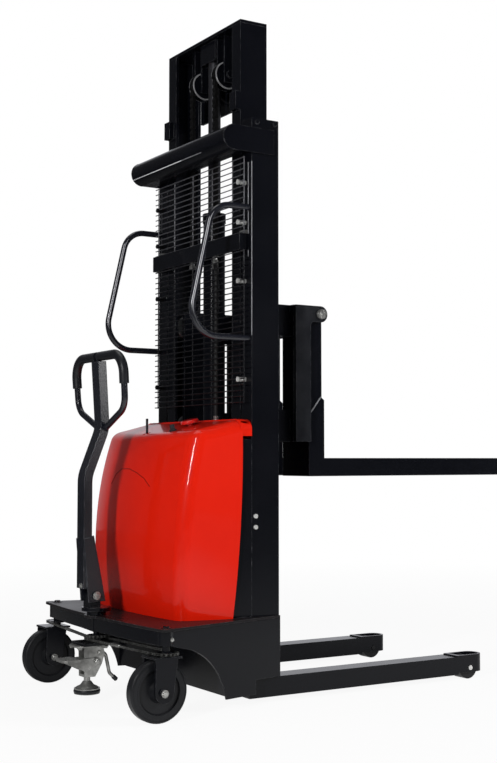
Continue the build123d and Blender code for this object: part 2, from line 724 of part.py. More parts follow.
with BuildPart() as emergency_stop:
    with BuildSketch(crown_plane(STOP_AT).offset(-SWITCH_DEEP)):
        Circle(SWITCH_R)
    extrude(amount=SWITCH_DEEP + STOP_RISE + STOP_HEAD / 2)
    with BuildSketch(crown_plane(STOP_AT).offset(STOP_RISE)):
        Circle(STOP_HEAD_R)
    extrude(amount=STOP_HEAD)
    fillet(emergency_stop.edges().filter_by(GeomType.CIRCLE).sort_by(Axis.Z)[-1], radius=STOP_HEAD / 2)
save("emergency_stop", emergency_stop.part)

# Black side panels between the cover and the mast
with BuildPart() as bay_panels:
    for side, name in SIDES:
        block(BAY_X, (side * BAY_Y[0], side * BAY_Y[1]), (DECK_TOP, BAY_TOP))
save("bay_panels", bay_panels.part)

# Power pack under the cover
with BuildPart() as battery:
    block(BATTERY_X, (-BATTERY_HALF, BATTERY_HALF), (DECK_TOP, BATTERY_TOP))
    for side, name in SIDES:
        bar_z(TERMINAL_AT[0], side * TERMINAL_AT[1], (BATTERY_TOP, TERMINAL_TOP), TERMINAL_R)
save("battery", battery.part)

with BuildPart() as pump_motor:
    bar_z(*PUMP_AT, (DECK_TOP, PUMP_TOP), PUMP_R)
    bar_z(*PUMP_AT, (PUMP_TOP, PUMP_FLANGE[1]), PUMP_FLANGE[0])
    valve_x, valve_y = ((centre - VALVE_HALF, centre + VALVE_HALF) for centre in PUMP_AT)
    block(valve_x, valve_y, (PUMP_FLANGE[1], VALVE_TOP))
save("pump_motor", pump_motor.part)

with BuildPart() as oil_tank:
    block(TANK_X, TANK_Y, (DECK_TOP, TANK_TOP))
    fillet(oil_tank.edges().filter_by(Axis.Z), radius=TANK_R)
    bar_z(sum(TANK_X) / 2, sum(TANK_Y) / 2, (TANK_TOP, FILLER_TOP), FILLER_R)
save("oil_tank", oil_tank.part)

# Lift cylinder, with the fitting that takes the hose
to_cylinder = (Vector(CYLINDER_X, 0, 0) - Vector(*HOSE_AT, 0)).normalized()
hose_span = (Vector(CYLINDER_X, 0, 0) - Vector(*HOSE_AT, 0)).length
fitting_face = hose_span - BARREL_R[0] - FITTING_LONG
with BuildPart() as lift_cylinder:
    bar_z(CYLINDER_X, 0, BARREL_Z, BARREL_R[0])
    bar_z(CYLINDER_X, 0, (BARREL_Z[1], GLAND_TOP), GLAND_R)
    fitting_base = Vector(*HOSE_AT, HOSE_TOP) + to_cylinder * fitting_face
    with BuildSketch(Plane(origin=fitting_base, z_dir=to_cylinder)):
        Circle(FITTING_R)
    extrude(amount=FITTING_LONG + 10)
    bar_z(CYLINDER_X, 0, (BARREL_Z[0] + 12, BARREL_Z[1]), BARREL_R[1], Mode.SUBTRACT)
    bar_z(CYLINDER_X, 0, (BARREL_Z[1], GLAND_TOP), ROD_R + 0.4, Mode.SUBTRACT)
save("lift_cylinder", lift_cylinder.part)

with BuildPart() as lift_rod:
    bar_z(CYLINDER_X, 0, ROD_Z, ROD_R)
    bar_z(CYLINDER_X, 0, (ROD_Z[0], ROD_Z[0] + PISTON_THICK), PISTON_R)
save("lift_rod", lift_rod.part)

# Hydraulic hose: up from the cover's lip, then a bend into the cylinder's fitting
hose_side = to_cylinder.cross(Vector(0, 0, 1))
hose_plane = Plane(origin=(*HOSE_AT, 0), x_dir=to_cylinder, z_dir=hose_side)
with BuildPart() as hydraulic_hose:
    with BuildLine(hose_plane) as hose_path:
        FilletPolyline(
            (0, LIP_Z[1]), (0, HOSE_TOP), (fitting_face, HOSE_TOP), radius=HOSE_BEND_R
        )
    with BuildSketch(Plane.XY.offset(LIP_Z[1])) as hose_section:
        with Locations(HOSE_AT):
            Circle(HOSE_R)
    sweep(sections=hose_section.sketch, path=hose_path.wires()[0])
save("hydraulic_hose", hydraulic_hose.part)

# Lift chains: fixed run, wrap over the pulley, and the run down to the carriage
chain_front_x = PULLEY_X + sum(LIFT_CHAIN_R) / 2
chain_thick = LIFT_CHAIN_R[1] - LIFT_CHAIN_R[0]
with BuildPart() as lift_chain_rear_runs:
    for side, name in SIDES:
        run_x = (chain_rear_x - chain_thick / 2, chain_rear_x + chain_thick / 2)
        run_y = (side * (PULLEY_Y - CHAIN_HALF), side * (PULLEY_Y + CHAIN_HALF))
        block(run_x, run_y, (REAR_CHAIN_LOW, PULLEY_Z))
save("lift_chain_rear_runs", lift_chain_rear_runs.part)

with BuildPart() as lift_chain_front_runs:
    for side, name in SIDES:
        run_x = (chain_front_x - chain_thick / 2, chain_front_x + chain_thick / 2)
        run_y = (side * (PULLEY_Y - CHAIN_HALF), side * (PULLEY_Y + CHAIN_HALF))
        block(run_x, run_y, (FRONT_CHAIN_LOW, PULLEY_Z))
save("lift_chain_front_runs", lift_chain_front_runs.part)

with BuildPart() as lift_chain_wraps:
    for side, name in SIDES:
        wrap_y = (side * (PULLEY_Y - CHAIN_HALF), side * (PULLEY_Y + CHAIN_HALF))
        bar_y(PULLEY_X, PULLEY_Z, wrap_y, LIFT_CHAIN_R[1])
    for side, name in SIDES:
        wrap_y = (side * (PULLEY_Y - CHAIN_HALF), side * (PULLEY_Y + CHAIN_HALF))
        bar_y(PULLEY_X, PULLEY_Z, wrap_y, LIFT_CHAIN_R[0], Mode.SUBTRACT)
    wrap_x = (PULLEY_X - LIFT_CHAIN_R[1] - 1, PULLEY_X + LIFT_CHAIN_R[1] + 1)
    wrap_span = PULLEY_Y + CHAIN_HALF + 1
    wrap_below = (PULLEY_Z - LIFT_CHAIN_R[1] - 1, PULLEY_Z)
    block(wrap_x, (-wrap_span, wrap_span), wrap_below, Mode.SUBTRACT)
save("lift_chain_wraps", lift_chain_wraps.part)

# Chain pulleys: grooved discs on one pin
with BuildPart() as chain_pulleys:
    pulley_groove = CHAIN_HALF + 1
    half_pulley = (
        (PULLEY_HALF, PULLEY_PIN_R + RUN_GAP),
        (PULLEY_HALF, PULLEY_RIM_R),
        (pulley_groove, PULLEY_RIM_R),
        (pulley_groove, PULLEY_GROOVE_R),
    )
    pulley_profile = (*half_pulley, *((-offset, radius) for offset, radius in reversed(half_pulley)))
    for side, name in SIDES:
        add(turned((PULLEY_X, side * PULLEY_Y, PULLEY_Z), pulley_profile))
save("chain_pulleys", chain_pulleys.part)

# Head of the inner mast: top plate, front plate, pulley brackets, pin and rod crosshead
with BuildPart() as inner_mast_head:
    head_under = INNER_Z[1]
    block(MAST_X, (-INNER_Y[1], INNER_Y[1]), (head_under, head_under + HEAD_PLATE))
    apron_half, apron_low = HEAD_APRON
    block((MAST_X[1] - FLANGE, MAST_X[1]), (-apron_half, apron_half), (apron_low, head_under))
    for side, name in SIDES:
        for near, far in BRACKET_Y:
            block(BRACKET_X, (side * near, side * far), (BRACKET_LOW, head_under))
        bar_y(PULLEY_X, PULLEY_Z, (side * BRACKET_Y[0][0], side * PIN_END), PULLEY_PIN_R)
    block(CROSSHEAD_X, (-BRACKET_Y[0][0], BRACKET_Y[0][0]), (ROD_Z[1], head_under))
save("inner_mast_head", inner_mast_head.part)

with BuildPart() as inner_mast_tie:
    tie_z = (INNER_Z[0], INNER_Z[0] + 38)
    block((MAST_X[1] - FLANGE, MAST_X[1]), (-INNER_Y[0], INNER_Y[0]), tie_z)
save("inner_mast_tie", inner_mast_tie.part)

# Carriage: side plates with ears, crossbars, roller arms and chain arms
for side, name in SIDES:
    y_high = max(side * CARRIAGE_SIDE_Y[0], side * CARRIAGE_SIDE_Y[1])
    with BuildPart() as carriage_side:
        with BuildSketch(facing(y_high)) as ear:
            with BuildLine():
                Polyline(
                    (CARRIAGE_X, LOWER_BAR_Z[0]),
                    (CARRIAGE_SIDE_FRONT, LOWER_BAR_Z[0]),
                    (CARRIAGE_SIDE_FRONT, EYE[1] - EYE_R),
                    (EYE[0], EYE[1] - EYE_R),
                    (EYE[0], EYE[1] + EYE_R),
                    (CARRIAGE_X, EYE[1] + EYE_R),
                    close=True,
                )
            make_face()
            front_line = (CARRIAGE_SIDE_FRONT - 1, CARRIAGE_SIDE_FRONT + 1)
            front_ends = ear.vertices().filter_by_position(Axis.X, *front_line)
            fillet(front_ends.sort_by(Axis.Y)[-1], radius=EAR_FILLET)
            with Locations(EYE):
                Circle(EYE_R)
                Circle(FORK_BAR_R + RUN_GAP, mode=Mode.SUBTRACT)
        extrude(amount=CARRIAGE_SIDE_Y[1] - CARRIAGE_SIDE_Y[0])
    save(f"carriage_side_{name}", carriage_side.part)

cross_half = (-CARRIAGE_SIDE_Y[0], CARRIAGE_SIDE_Y[0])
with BuildPart() as carriage_crossbars:
    block((CARRIAGE_X, CARRIAGE_X + UPPER_BAR_DEPTH), cross_half, UPPER_BAR_Z)
    block((CARRIAGE_X, CARRIAGE_X + LOWER_BAR_DEPTH), cross_half, LOWER_BAR_Z)
save("carriage_crossbars", carriage_crossbars.part)

with BuildPart() as carriage_arms:
    for side, name in SIDES:
        arm_y = (side * ARM_Y[0], side * ARM_Y[1])
        block(ARM_X, arm_y, (LOWER_BAR_Z[0], UPPER_BAR_Z[1]))
        for arm_z in (LOWER_BAR_Z, UPPER_BAR_Z):
            block((ARM_X[1], CARRIAGE_X), arm_y, arm_z)
        pin_ends = (side * ARM_Y[1], side * (CARRIAGE_ROLLER_Y[1] + 1))
        for roller_z in CARRIAGE_ROLLER_Z.values():
            bar_y(ROLLER_X, roller_z, pin_ends, ROLLER_PIN_R)
        chain_y = (side * (PULLEY_Y - 18), side * (PULLEY_Y + 18))
        block((chain_front_x - 10, CARRIAGE_X), chain_y, (FRONT_CHAIN_LOW - 16, FRONT_CHAIN_LOW))
save("carriage_arms", carriage_arms.part)

for level, roller_z in CARRIAGE_ROLLER_Z.items():
    with BuildPart() as carriage_rollers:
        for side, name in SIDES:
            ends = (side * CARRIAGE_ROLLER_Y[0], side * CARRIAGE_ROLLER_Y[1])
            centre = (ROLLER_X, sum(ends) / 2, roller_z)
            add(roller(centre, ends, ROLLER_R, ROLLER_PIN_R + RUN_GAP))
    save(f"carriage_rollers_{level}", carriage_rollers.part)

with BuildPart() as fork_bar:
    bar_y(*EYE, (-232, 232), FORK_BAR_R)
    chamfer(fork_bar.edges().filter_by(GeomType.CIRCLE), length=2)
save("fork_bar", fork_bar.part)

# Forks: boxed blades with a stepped shank and an eye round the fork bar
for side, name in SIDES:
    y_high = max(side * FORK_Y[0], side * FORK_Y[1])
    width = FORK_Y[1] - FORK_Y[0]
    with BuildPart() as fork:
        with BuildSketch(facing(y_high)):
            with BuildLine():
                Polyline(
                    (FORK_REAR, BLADE_Z[0]),
                    (TAPER_X, BLADE_Z[0]),
                    (FORK_TIP_X, TIP_UNDER_Z),
                    (FORK_TIP_X, BLADE_Z[1]),
                    (HEEL_FRONT, BLADE_Z[1]),
                    (HEEL_FRONT, HEEL_TOP - HEEL_STEP),
                    (SHANK_FRONT, HEEL_TOP),
                    (SHANK_FRONT, EYE[1]),
                    (FORK_REAR + 20, EYE[1] + EYE_R),
                    (FORK_REAR, EYE[1] + EYE_R - 12),
                    close=True,
                )
            make_face()
            with Locations(EYE):
                Circle(EYE_R)
                Circle(FORK_BAR_R + RUN_GAP, mode=Mode.SUBTRACT)
        extrude(amount=width)
        tip_edges = fork.edges().filter_by(Axis.Z).group_by(Axis.X)[-1]
        fillet(tip_edges, radius=TIP_PLAN_R)
        blade_void_z = (BLADE_Z[0] + FORK_WALL, BLADE_Z[1] - FORK_WALL)
        void_y = (side * (FORK_Y[0] + FORK_WALL), side * (FORK_Y[1] - FORK_WALL))
        block((HEEL_FRONT, TAPER_X), void_y, blade_void_z, Mode.SUBTRACT)
        shank_void_x = (FORK_REAR + FORK_WALL, SHANK_FRONT - FORK_WALL)
        block(shank_void_x, void_y, (BLADE_Z[1], EYE[1] - EYE_R - FORK_WALL), Mode.SUBTRACT)
    save(f"fork_{name}", fork.part)

# Tiller turret: collar and lug above the deck, stem and double sprocket below
with BuildPart() as tiller_turret:
    neck_r, neck_top = TURRET_NECK
    bar_z(TILLER_X, 0, (TURRET_Z[0], neck_top), neck_r)
    bar_z(TILLER_X, 0, (neck_top, TURRET_Z[1]), TURRET_R)
    bar_z(TILLER_X, 0, (CHAIN_Z["right"][0], TURRET_Z[0]), TURRET_STEM_R)
    for chain_z in CHAIN_Z.values():
        bar_z(TILLER_X, 0, chain_z, SPROCKET_R)
    with BuildSketch(facing(LUG_HALF)):
        with Locations((TILT_X, (TURRET_Z[1] + TILT_Z) / 2)):
            Rectangle(2 * LUG_R, TILT_Z - TURRET_Z[1])
        with Locations((TILT_X, TILT_Z)):
            Circle(LUG_R)
    extrude(amount=2 * LUG_HALF)
    pin_half = POST_SIZE[1] / 2 + CHEEK_PLATE + 5
    bar_y(TILT_X, TILT_Z, (-pin_half, pin_half), TILT_PIN_R)
save("tiller_turret", tiller_turret.part)

# Tiller post: bent rectangular tube with two cheek plates over the lug
with BuildPart() as tiller_post:
    with BuildLine(Plane.XZ) as post_path:
        FilletPolyline(*POST_ROUTE, radius=POST_BEND_R)
    with BuildSketch(Plane.XY.offset(POST_ROUTE[0][1])) as post_section:
        with Locations((POST_ROUTE[0][0], 0)):
            Rectangle(*POST_SIZE)
            Rectangle(*(size - 2 * POST_WALL for size in POST_SIZE), mode=Mode.SUBTRACT)
    sweep(sections=post_section.sketch, path=post_path.wires()[0])
    for cheek_y in (POST_SIZE[1] / 2 + CHEEK_PLATE, -POST_SIZE[1] / 2):
        with BuildSketch(facing(cheek_y)):
            Polygon(*CHEEK)
            with Locations((TILT_X, TILT_Z)):
                Circle(TILT_PIN_R + RUN_GAP, mode=Mode.SUBTRACT)
        extrude(amount=CHEEK_PLATE)
save("tiller_post", tiller_post.part)

# Tiller loop: one bent tube from side to side of the post, with rubber grips
post_rise = [top - low for top, low in zip(POST_ROUTE[3], POST_ROUTE[2])]
lean = Vector(post_rise[0], 0, post_rise[1]).normalized()
loop_plane = Plane(
    origin=(POST_ROUTE[2][0], 0, POST_ROUTE[2][1]), x_dir=(0, 1, 0), z_dir=(lean.Z, 0, -lean.X)
)
with BuildPart() as tiller_loop:
    with BuildLine(loop_plane) as loop_path:
        FilletPolyline(
            (10, -5),
            LOOP_LOW,
            LOOP_TOP,
            (-LOOP_TOP[0], LOOP_TOP[1]),
            (-LOOP_LOW[0], LOOP_LOW[1]),
            (-10, -5),
            radius=(LOOP_BENDS[0], LOOP_BENDS[1], LOOP_BENDS[1], LOOP_BENDS[0]),
        )
    loop_wire = loop_path.wires()[0]
    with BuildSketch(Plane(origin=loop_wire @ 0, z_dir=loop_wire % 0)) as loop_section:
        Circle(LOOP_R)
    sweep(sections=loop_section.sketch, path=loop_wire)
    with BuildSketch(Plane.XY.offset(POST_ROUTE[0][1])) as post_outline:
        with Locations((POST_ROUTE[0][0], 0)):
            Rectangle(*POST_SIZE)
    sweep(sections=post_outline.sketch, path=post_path.wires()[0], mode=Mode.SUBTRACT)
    post_top = (POST_ROUTE[3][0], 0, POST_ROUTE[3][1])
    with BuildSketch(Plane(origin=post_top, x_dir=(0, 1, 0), z_dir=lean)) as neck:
        Rectangle(*NECK)
    extrude(neck.sketch, amount=LOOP_TOP[1] - math.hypot(*post_rise))
save("tiller_loop", tiller_loop.part)

grip_side = LOOP_LOW[0] + (LOOP_TOP[0] - LOOP_LOW[0]) * (GRIP_LOW - LOOP_LOW[1]) / (
    LOOP_TOP[1] - LOOP_LOW[1]
)
with BuildPart() as tiller_grips:
    for side, name in SIDES:
        with BuildLine(loop_plane) as grip_path:
            FilletPolyline(
                (side * grip_side, GRIP_LOW),
                (side * LOOP_TOP[0], LOOP_TOP[1]),
                (side * GRIP_END, LOOP_TOP[1]),
                radius=LOOP_BENDS[1],
            )
        grip_wire = grip_path.wires()[0]
        with BuildSketch(Plane(origin=grip_wire @ 0, z_dir=grip_wire % 0)) as grip_section:
            Circle(GRIP_R)
            Circle(LOOP_R + RUN_GAP, mode=Mode.SUBTRACT)
        sweep(sections=grip_section.sketch, path=grip_wire)
save("tiller_grips", tiller_grips.part)

# Caster yokes with stem, sprocket and axle, and their wheels
for side, name in SIDES:
    y = side * CASTER_Y
    yoke_outer = YOKE_INNER + YOKE_PLATE
    with BuildPart() as caster_yoke:
        bar_z(CASTER_X, y, (YOKE_TOP[1], DECK_UNDER - 2), CASTER_STEM_R)
        bar_z(CASTER_X, y, CHAIN_Z[name], SPROCKET_R)
        block(YOKE_TOP_X, (y - yoke_outer, y + yoke_outer), YOKE_TOP)
        for plate_y in (y + yoke_outer, y - YOKE_INNER):
            with BuildSketch(facing(plate_y)):
                Polygon(
                    (YOKE_EYE_X - YOKE_EYE_R, CASTER_R),
                    (YOKE_EYE_X + YOKE_EYE_R, CASTER_R),
                    (YOKE_LEG_X[1], YOKE_TOP[0]),
                    (YOKE_LEG_X[0], YOKE_TOP[0]),
                )
                with Locations((YOKE_EYE_X, CASTER_R)):
                    Circle(YOKE_EYE_R)
            extrude(amount=YOKE_PLATE)
        bar_y(0, CASTER_R, (y - yoke_outer, y + yoke_outer), CASTER_AXLE_R)
        nut_r, nut_thick = AXLE_NUT
        for nut_y in (y + yoke_outer + nut_thick, y - yoke_outer):
            with BuildSketch(facing(nut_y)):
                with Locations((0, CASTER_R)):
                    RegularPolygon(nut_r, 6)
            extrude(amount=nut_thick)
    save(f"caster_yoke_{name}", caster_yoke.part)

    half_profile = (
        (HUB_HALF, CASTER_AXLE_R + RUN_GAP),
        (HUB_HALF, HUB_R),
        (DISC_HALF, HUB_R + 6),
        (DISC_HALF, TYRE_FOOT_R - 6),
        (TYRE_HALF, TYRE_FOOT_R),
        (TYRE_HALF, CASTER_R - 8),
        (TYRE_HALF - 2, CASTER_R - 3),
        (TYRE_HALF - 7, CASTER_R),
    )
    wheel_profile = (*half_profile, *((-offset, radius) for offset, radius in reversed(half_profile)))
    save(f"caster_wheel_{name}", turned((0, y, CASTER_R), wheel_profile))

# Steering chains: one loop from the turret to each caster
with BuildPart() as steering_chains:
    for side, name in SIDES:
        run = Vector(CASTER_X - TILLER_X, side * CASTER_Y)
        low, high = CHAIN_Z[name]
        with BuildSketch(Plane.XY.offset(low)):
            with Locations(((CASTER_X + TILLER_X) / 2, side * CASTER_Y / 2)):
                turn = math.degrees(math.atan2(run.Y, run.X))
                SlotCenterToCenter(run.length, 2 * CHAIN_OUT, rotation=turn)
                SlotCenterToCenter(run.length, 2 * CHAIN_IN, rotation=turn, mode=Mode.SUBTRACT)
        extrude(amount=high - low)
save("steering_chains", steering_chains.part)

# Floor lock: bracket under the deck, body, pedal, foot and release lever
with BuildPart() as floor_lock_bracket:
    bracket_half = (-LOCK_BRACKET_HALF, LOCK_BRACKET_HALF)
    block(LOCK_BRACKET_X[1:], bracket_half, (LOCK_PLATE_Z[1], DECK_UNDER))
    block(LOCK_BRACKET_X[:2], bracket_half, (LOCK_PLATE_Z[1], LOCK_PLATE_Z[1] + YOKE_PLATE))
save("floor_lock_bracket", floor_lock_bracket.part)

with BuildPart() as floor_lock_base:
    block(LOCK_PLATE_X, (-LOCK_PLATE_HALF, LOCK_PLATE_HALF), LOCK_PLATE_Z)
    fillet(floor_lock_base.edges().filter_by(Axis.Z), radius=LOCK_PLATE_R)
    for cheek_y in (LOCK_CHEEK_Y[1], -LOCK_CHEEK_Y[0]):
        with BuildSketch(facing(cheek_y)):
            Polygon(*LOCK_CHEEK)
        extrude(amount=LOCK_CHEEK_Y[1] - LOCK_CHEEK_Y[0])
    guide_y = (-LOCK_CHEEK_Y[0], LOCK_CHEEK_Y[0])
    guide_z = (LOCK_LOW, LOCK_LOW + LOCK_GUIDE)
    block(LOCK_GUIDE_X, guide_y, guide_z)
    bar_z(LOCK_ROD_X, 0, guide_z, LOCK_ROD_R + RUN_GAP, Mode.SUBTRACT)
    for pivot in (PEDAL_PIVOT, RELEASE_PIVOT):
        bar_y(*pivot, (-LOCK_CHEEK_Y[1], LOCK_CHEEK_Y[1]), LOCK_PIN_R + RUN_GAP, Mode.SUBTRACT)
save("floor_lock_base", floor_lock_base.part)

with BuildPart() as floor_lock_pedal:
    pedal_pin_half = PEDAL_ARM_Y[1] + 3
    bar_y(*PEDAL_PIVOT, (-pedal_pin_half, pedal_pin_half), LOCK_PIN_R)
    for arm_y in (PEDAL_ARM_Y[1], -PEDAL_ARM_Y[0]):
        with BuildSketch(facing(arm_y)):
            Polygon(*PEDAL_ARM)
            with Locations(PEDAL_PIVOT):
                Circle(PEDAL_HUB_R)
        extrude(amount=PEDAL_ARM_Y[1] - PEDAL_ARM_Y[0])
    block(TREAD_X, (-TREAD_HALF, TREAD_HALF), TREAD_Z)
    fillet(floor_lock_pedal.edges().filter_by(Axis.Z).group_by(Axis.X)[0], radius=TREAD_R)
save("floor_lock_pedal", floor_lock_pedal.part)

with BuildPart() as floor_lock_foot:
    for foot_r, foot_low, foot_high in LOCK_FOOT:
        bar_z(LOCK_ROD_X, 0, (foot_low, foot_high), foot_r)
save("floor_lock_foot", floor_lock_foot.part)

with BuildPart() as floor_lock_lever:
    with BuildLine(Plane.XZ) as release_path:
        FilletPolyline(*RELEASE_ROUTE, radius=RELEASE_BENDS)
    release_wire = release_path.wires()[0]
    with BuildSketch(Plane(origin=release_wire @ 0, z_dir=release_wire % 0)) as release_section:
        Circle(RELEASE_R)
    sweep(sections=release_section.sketch, path=release_wire)
    hub_r, hub_half = RELEASE_HUB
    bar_y(*RELEASE_PIVOT, (-hub_half, hub_half), hub_r)
    release_pin_half = LOCK_CHEEK_Y[1] + 3
    bar_y(*RELEASE_PIVOT, (-release_pin_half, release_pin_half), LOCK_PIN_R)
save("floor_lock_lever", floor_lock_lever.part)

# Zinc fasteners: load-wheel pins, chain anchor bolts, mesh clips, bay bolts
with BuildPart() as zinc_fasteners:
    for side, name in SIDES:
        pin_ends = (side * (LEG_Y[0] - 2), side * (LEG_Y[1] + 3))
        bar_y(LOAD_WHEEL_X, LOAD_WHEEL_R, pin_ends, LOAD_PIN_R)
        anchor_y = side * PULLEY_Y
        below, above = ANCHOR_BOLT_ENDS
        bar_z(chain_rear_x, anchor_y, (LUG_Z[0] - below, LUG_Z[1] + above), ANCHOR_BOLT_R)
        nut_r, nut_thick = ANCHOR_NUT
        for nut_low in (LUG_Z[0] - nut_thick, LUG_Z[1]):
            with BuildSketch(Plane.XY.offset(nut_low)):
                with Locations((chain_rear_x, anchor_y)):
                    RegularPolygon(nut_r, 6)
            extrude(amount=nut_thick)
        for low, rows, clip_rows in MESH_PANELS:
            for clip_row in clip_rows:
                clip_z = low + clip_row * MESH_PITCH
                bar_x(side * CLIP_Y, clip_z, (MESH_X + MESH_THICK, MAST_X[0]), CLIP_STEM_R)
                bar_x(side * CLIP_Y, clip_z, (MESH_X - CLIP_HEAD, MESH_X), CLIP_R)
        web_y = side * OUTER_Y[1]
        for bolt_x, bolt_z in BAY_BOLTS:
            bar_y(bolt_x, bolt_z, (web_y, web_y + side * BOLT_HEAD), BOLT_R)
save("zinc_fasteners", zinc_fasteners.part)
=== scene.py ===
"""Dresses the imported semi-electric stacker and stands it in a white studio."""

import json
import logging
import math
from dataclasses import dataclass
from enum import Enum
from typing import Any, Iterable, Sequence

import bmesh
import bpy
from mathutils import Euler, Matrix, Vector


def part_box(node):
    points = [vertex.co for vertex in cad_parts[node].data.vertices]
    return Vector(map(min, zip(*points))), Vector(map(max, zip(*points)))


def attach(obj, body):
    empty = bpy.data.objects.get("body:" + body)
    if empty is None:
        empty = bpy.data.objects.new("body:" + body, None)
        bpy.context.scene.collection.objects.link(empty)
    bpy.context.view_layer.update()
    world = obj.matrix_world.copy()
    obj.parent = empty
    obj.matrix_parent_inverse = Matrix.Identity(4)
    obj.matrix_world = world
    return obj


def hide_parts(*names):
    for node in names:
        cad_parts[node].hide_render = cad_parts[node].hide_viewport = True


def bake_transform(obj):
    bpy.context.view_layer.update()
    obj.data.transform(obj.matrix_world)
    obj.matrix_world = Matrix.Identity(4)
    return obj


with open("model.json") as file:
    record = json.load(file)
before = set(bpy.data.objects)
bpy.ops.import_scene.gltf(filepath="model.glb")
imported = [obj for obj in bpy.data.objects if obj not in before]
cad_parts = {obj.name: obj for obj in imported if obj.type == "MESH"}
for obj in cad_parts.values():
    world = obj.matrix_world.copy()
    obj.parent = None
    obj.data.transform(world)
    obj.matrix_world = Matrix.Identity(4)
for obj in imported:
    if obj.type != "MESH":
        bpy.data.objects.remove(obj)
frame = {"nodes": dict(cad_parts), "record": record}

LOG = logging.getLogger("stacker")
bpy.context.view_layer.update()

Pair = tuple[float, float]
Point = tuple[float, float, float]
Rgb = tuple[float, float, float]
Route = Sequence[Point]
Spot = tuple[Point, Point]
Mesh = bpy.types.Mesh
Object = bpy.types.Object
Socket = bpy.types.NodeSocket
Tree = bpy.types.NodeTree

# The rear axle stands this far behind the origin of the frame, in millimetres.
AXLE_BACK = 795.0
MILLIMETRE = 0.001
SIDES = (1, -1)
NAMED_SIDES = ((1, "left"), (-1, "right"))
ORIGIN: Point = (0.0, 0.0, 0.0)
OUT: Point = (0.0, 1.0, 0.0)
UP: Point = (0.0, 0.0, 1.0)
DOWN: Point = (0.0, 0.0, -1.0)
WHITE: Rgb = (1.0, 1.0, 1.0)

# Edges up to these angles, in degrees, are shaded smooth.
SMOOTH_HEAD = 25.0
SMOOTH_PLATE = 35.0
SMOOTH_TURNED = 40.0
SMOOTH_RING = 50.0
SMOOTH_TUBE = 60.0


def at(x: float, y: float, z: float) -> Vector:
    """Place in the frame, in metres, of a point in millimetres from the rear axle."""
    return Vector((x - AXLE_BACK, y, z)) * MILLIMETRE


def both(place: Point, way: Point) -> list[Spot]:
    """The same spot on the left and the right of the machine.

    Args:
        place: The place on the left, in millimetres.
        way: The direction that it looks in there.

    Returns:
        The places and directions on both sides.
    """
    return [
        ((place[0], side * place[1], place[2]), (way[0], side * way[1], way[2])) for side in SIDES
    ]


def circle(sides: int) -> list[Pair]:
    """Cosine and sine of equal steps round a circle."""
    turns = (math.tau * step / sides for step in range(sides))
    return [(math.cos(turn), math.sin(turn)) for turn in turns]


def half_circle(start: float, steps: int) -> list[Pair]:
    """Cosine and sine of equal steps over half a turn, both ends included."""
    turns = (start + math.pi * step / steps for step in range(steps + 1))
    return [(math.cos(turn), math.sin(turn)) for turn in turns]


def link(name: str, data: bpy.types.ID) -> Object:
    """Links a new object to the scene.

    Args:
        name: The object's name.
        data: Its mesh, curve, lamp or camera.

    Returns:
        The new object.
    """
    made = bpy.data.objects.new(name, data)
    bpy.context.scene.collection.objects.link(made)
    return made


def aim(way: Vector) -> Euler:
    """Rotation of a camera or lamp that looks along a direction."""
    return way.to_track_quat("-Z", "Y").to_euler()


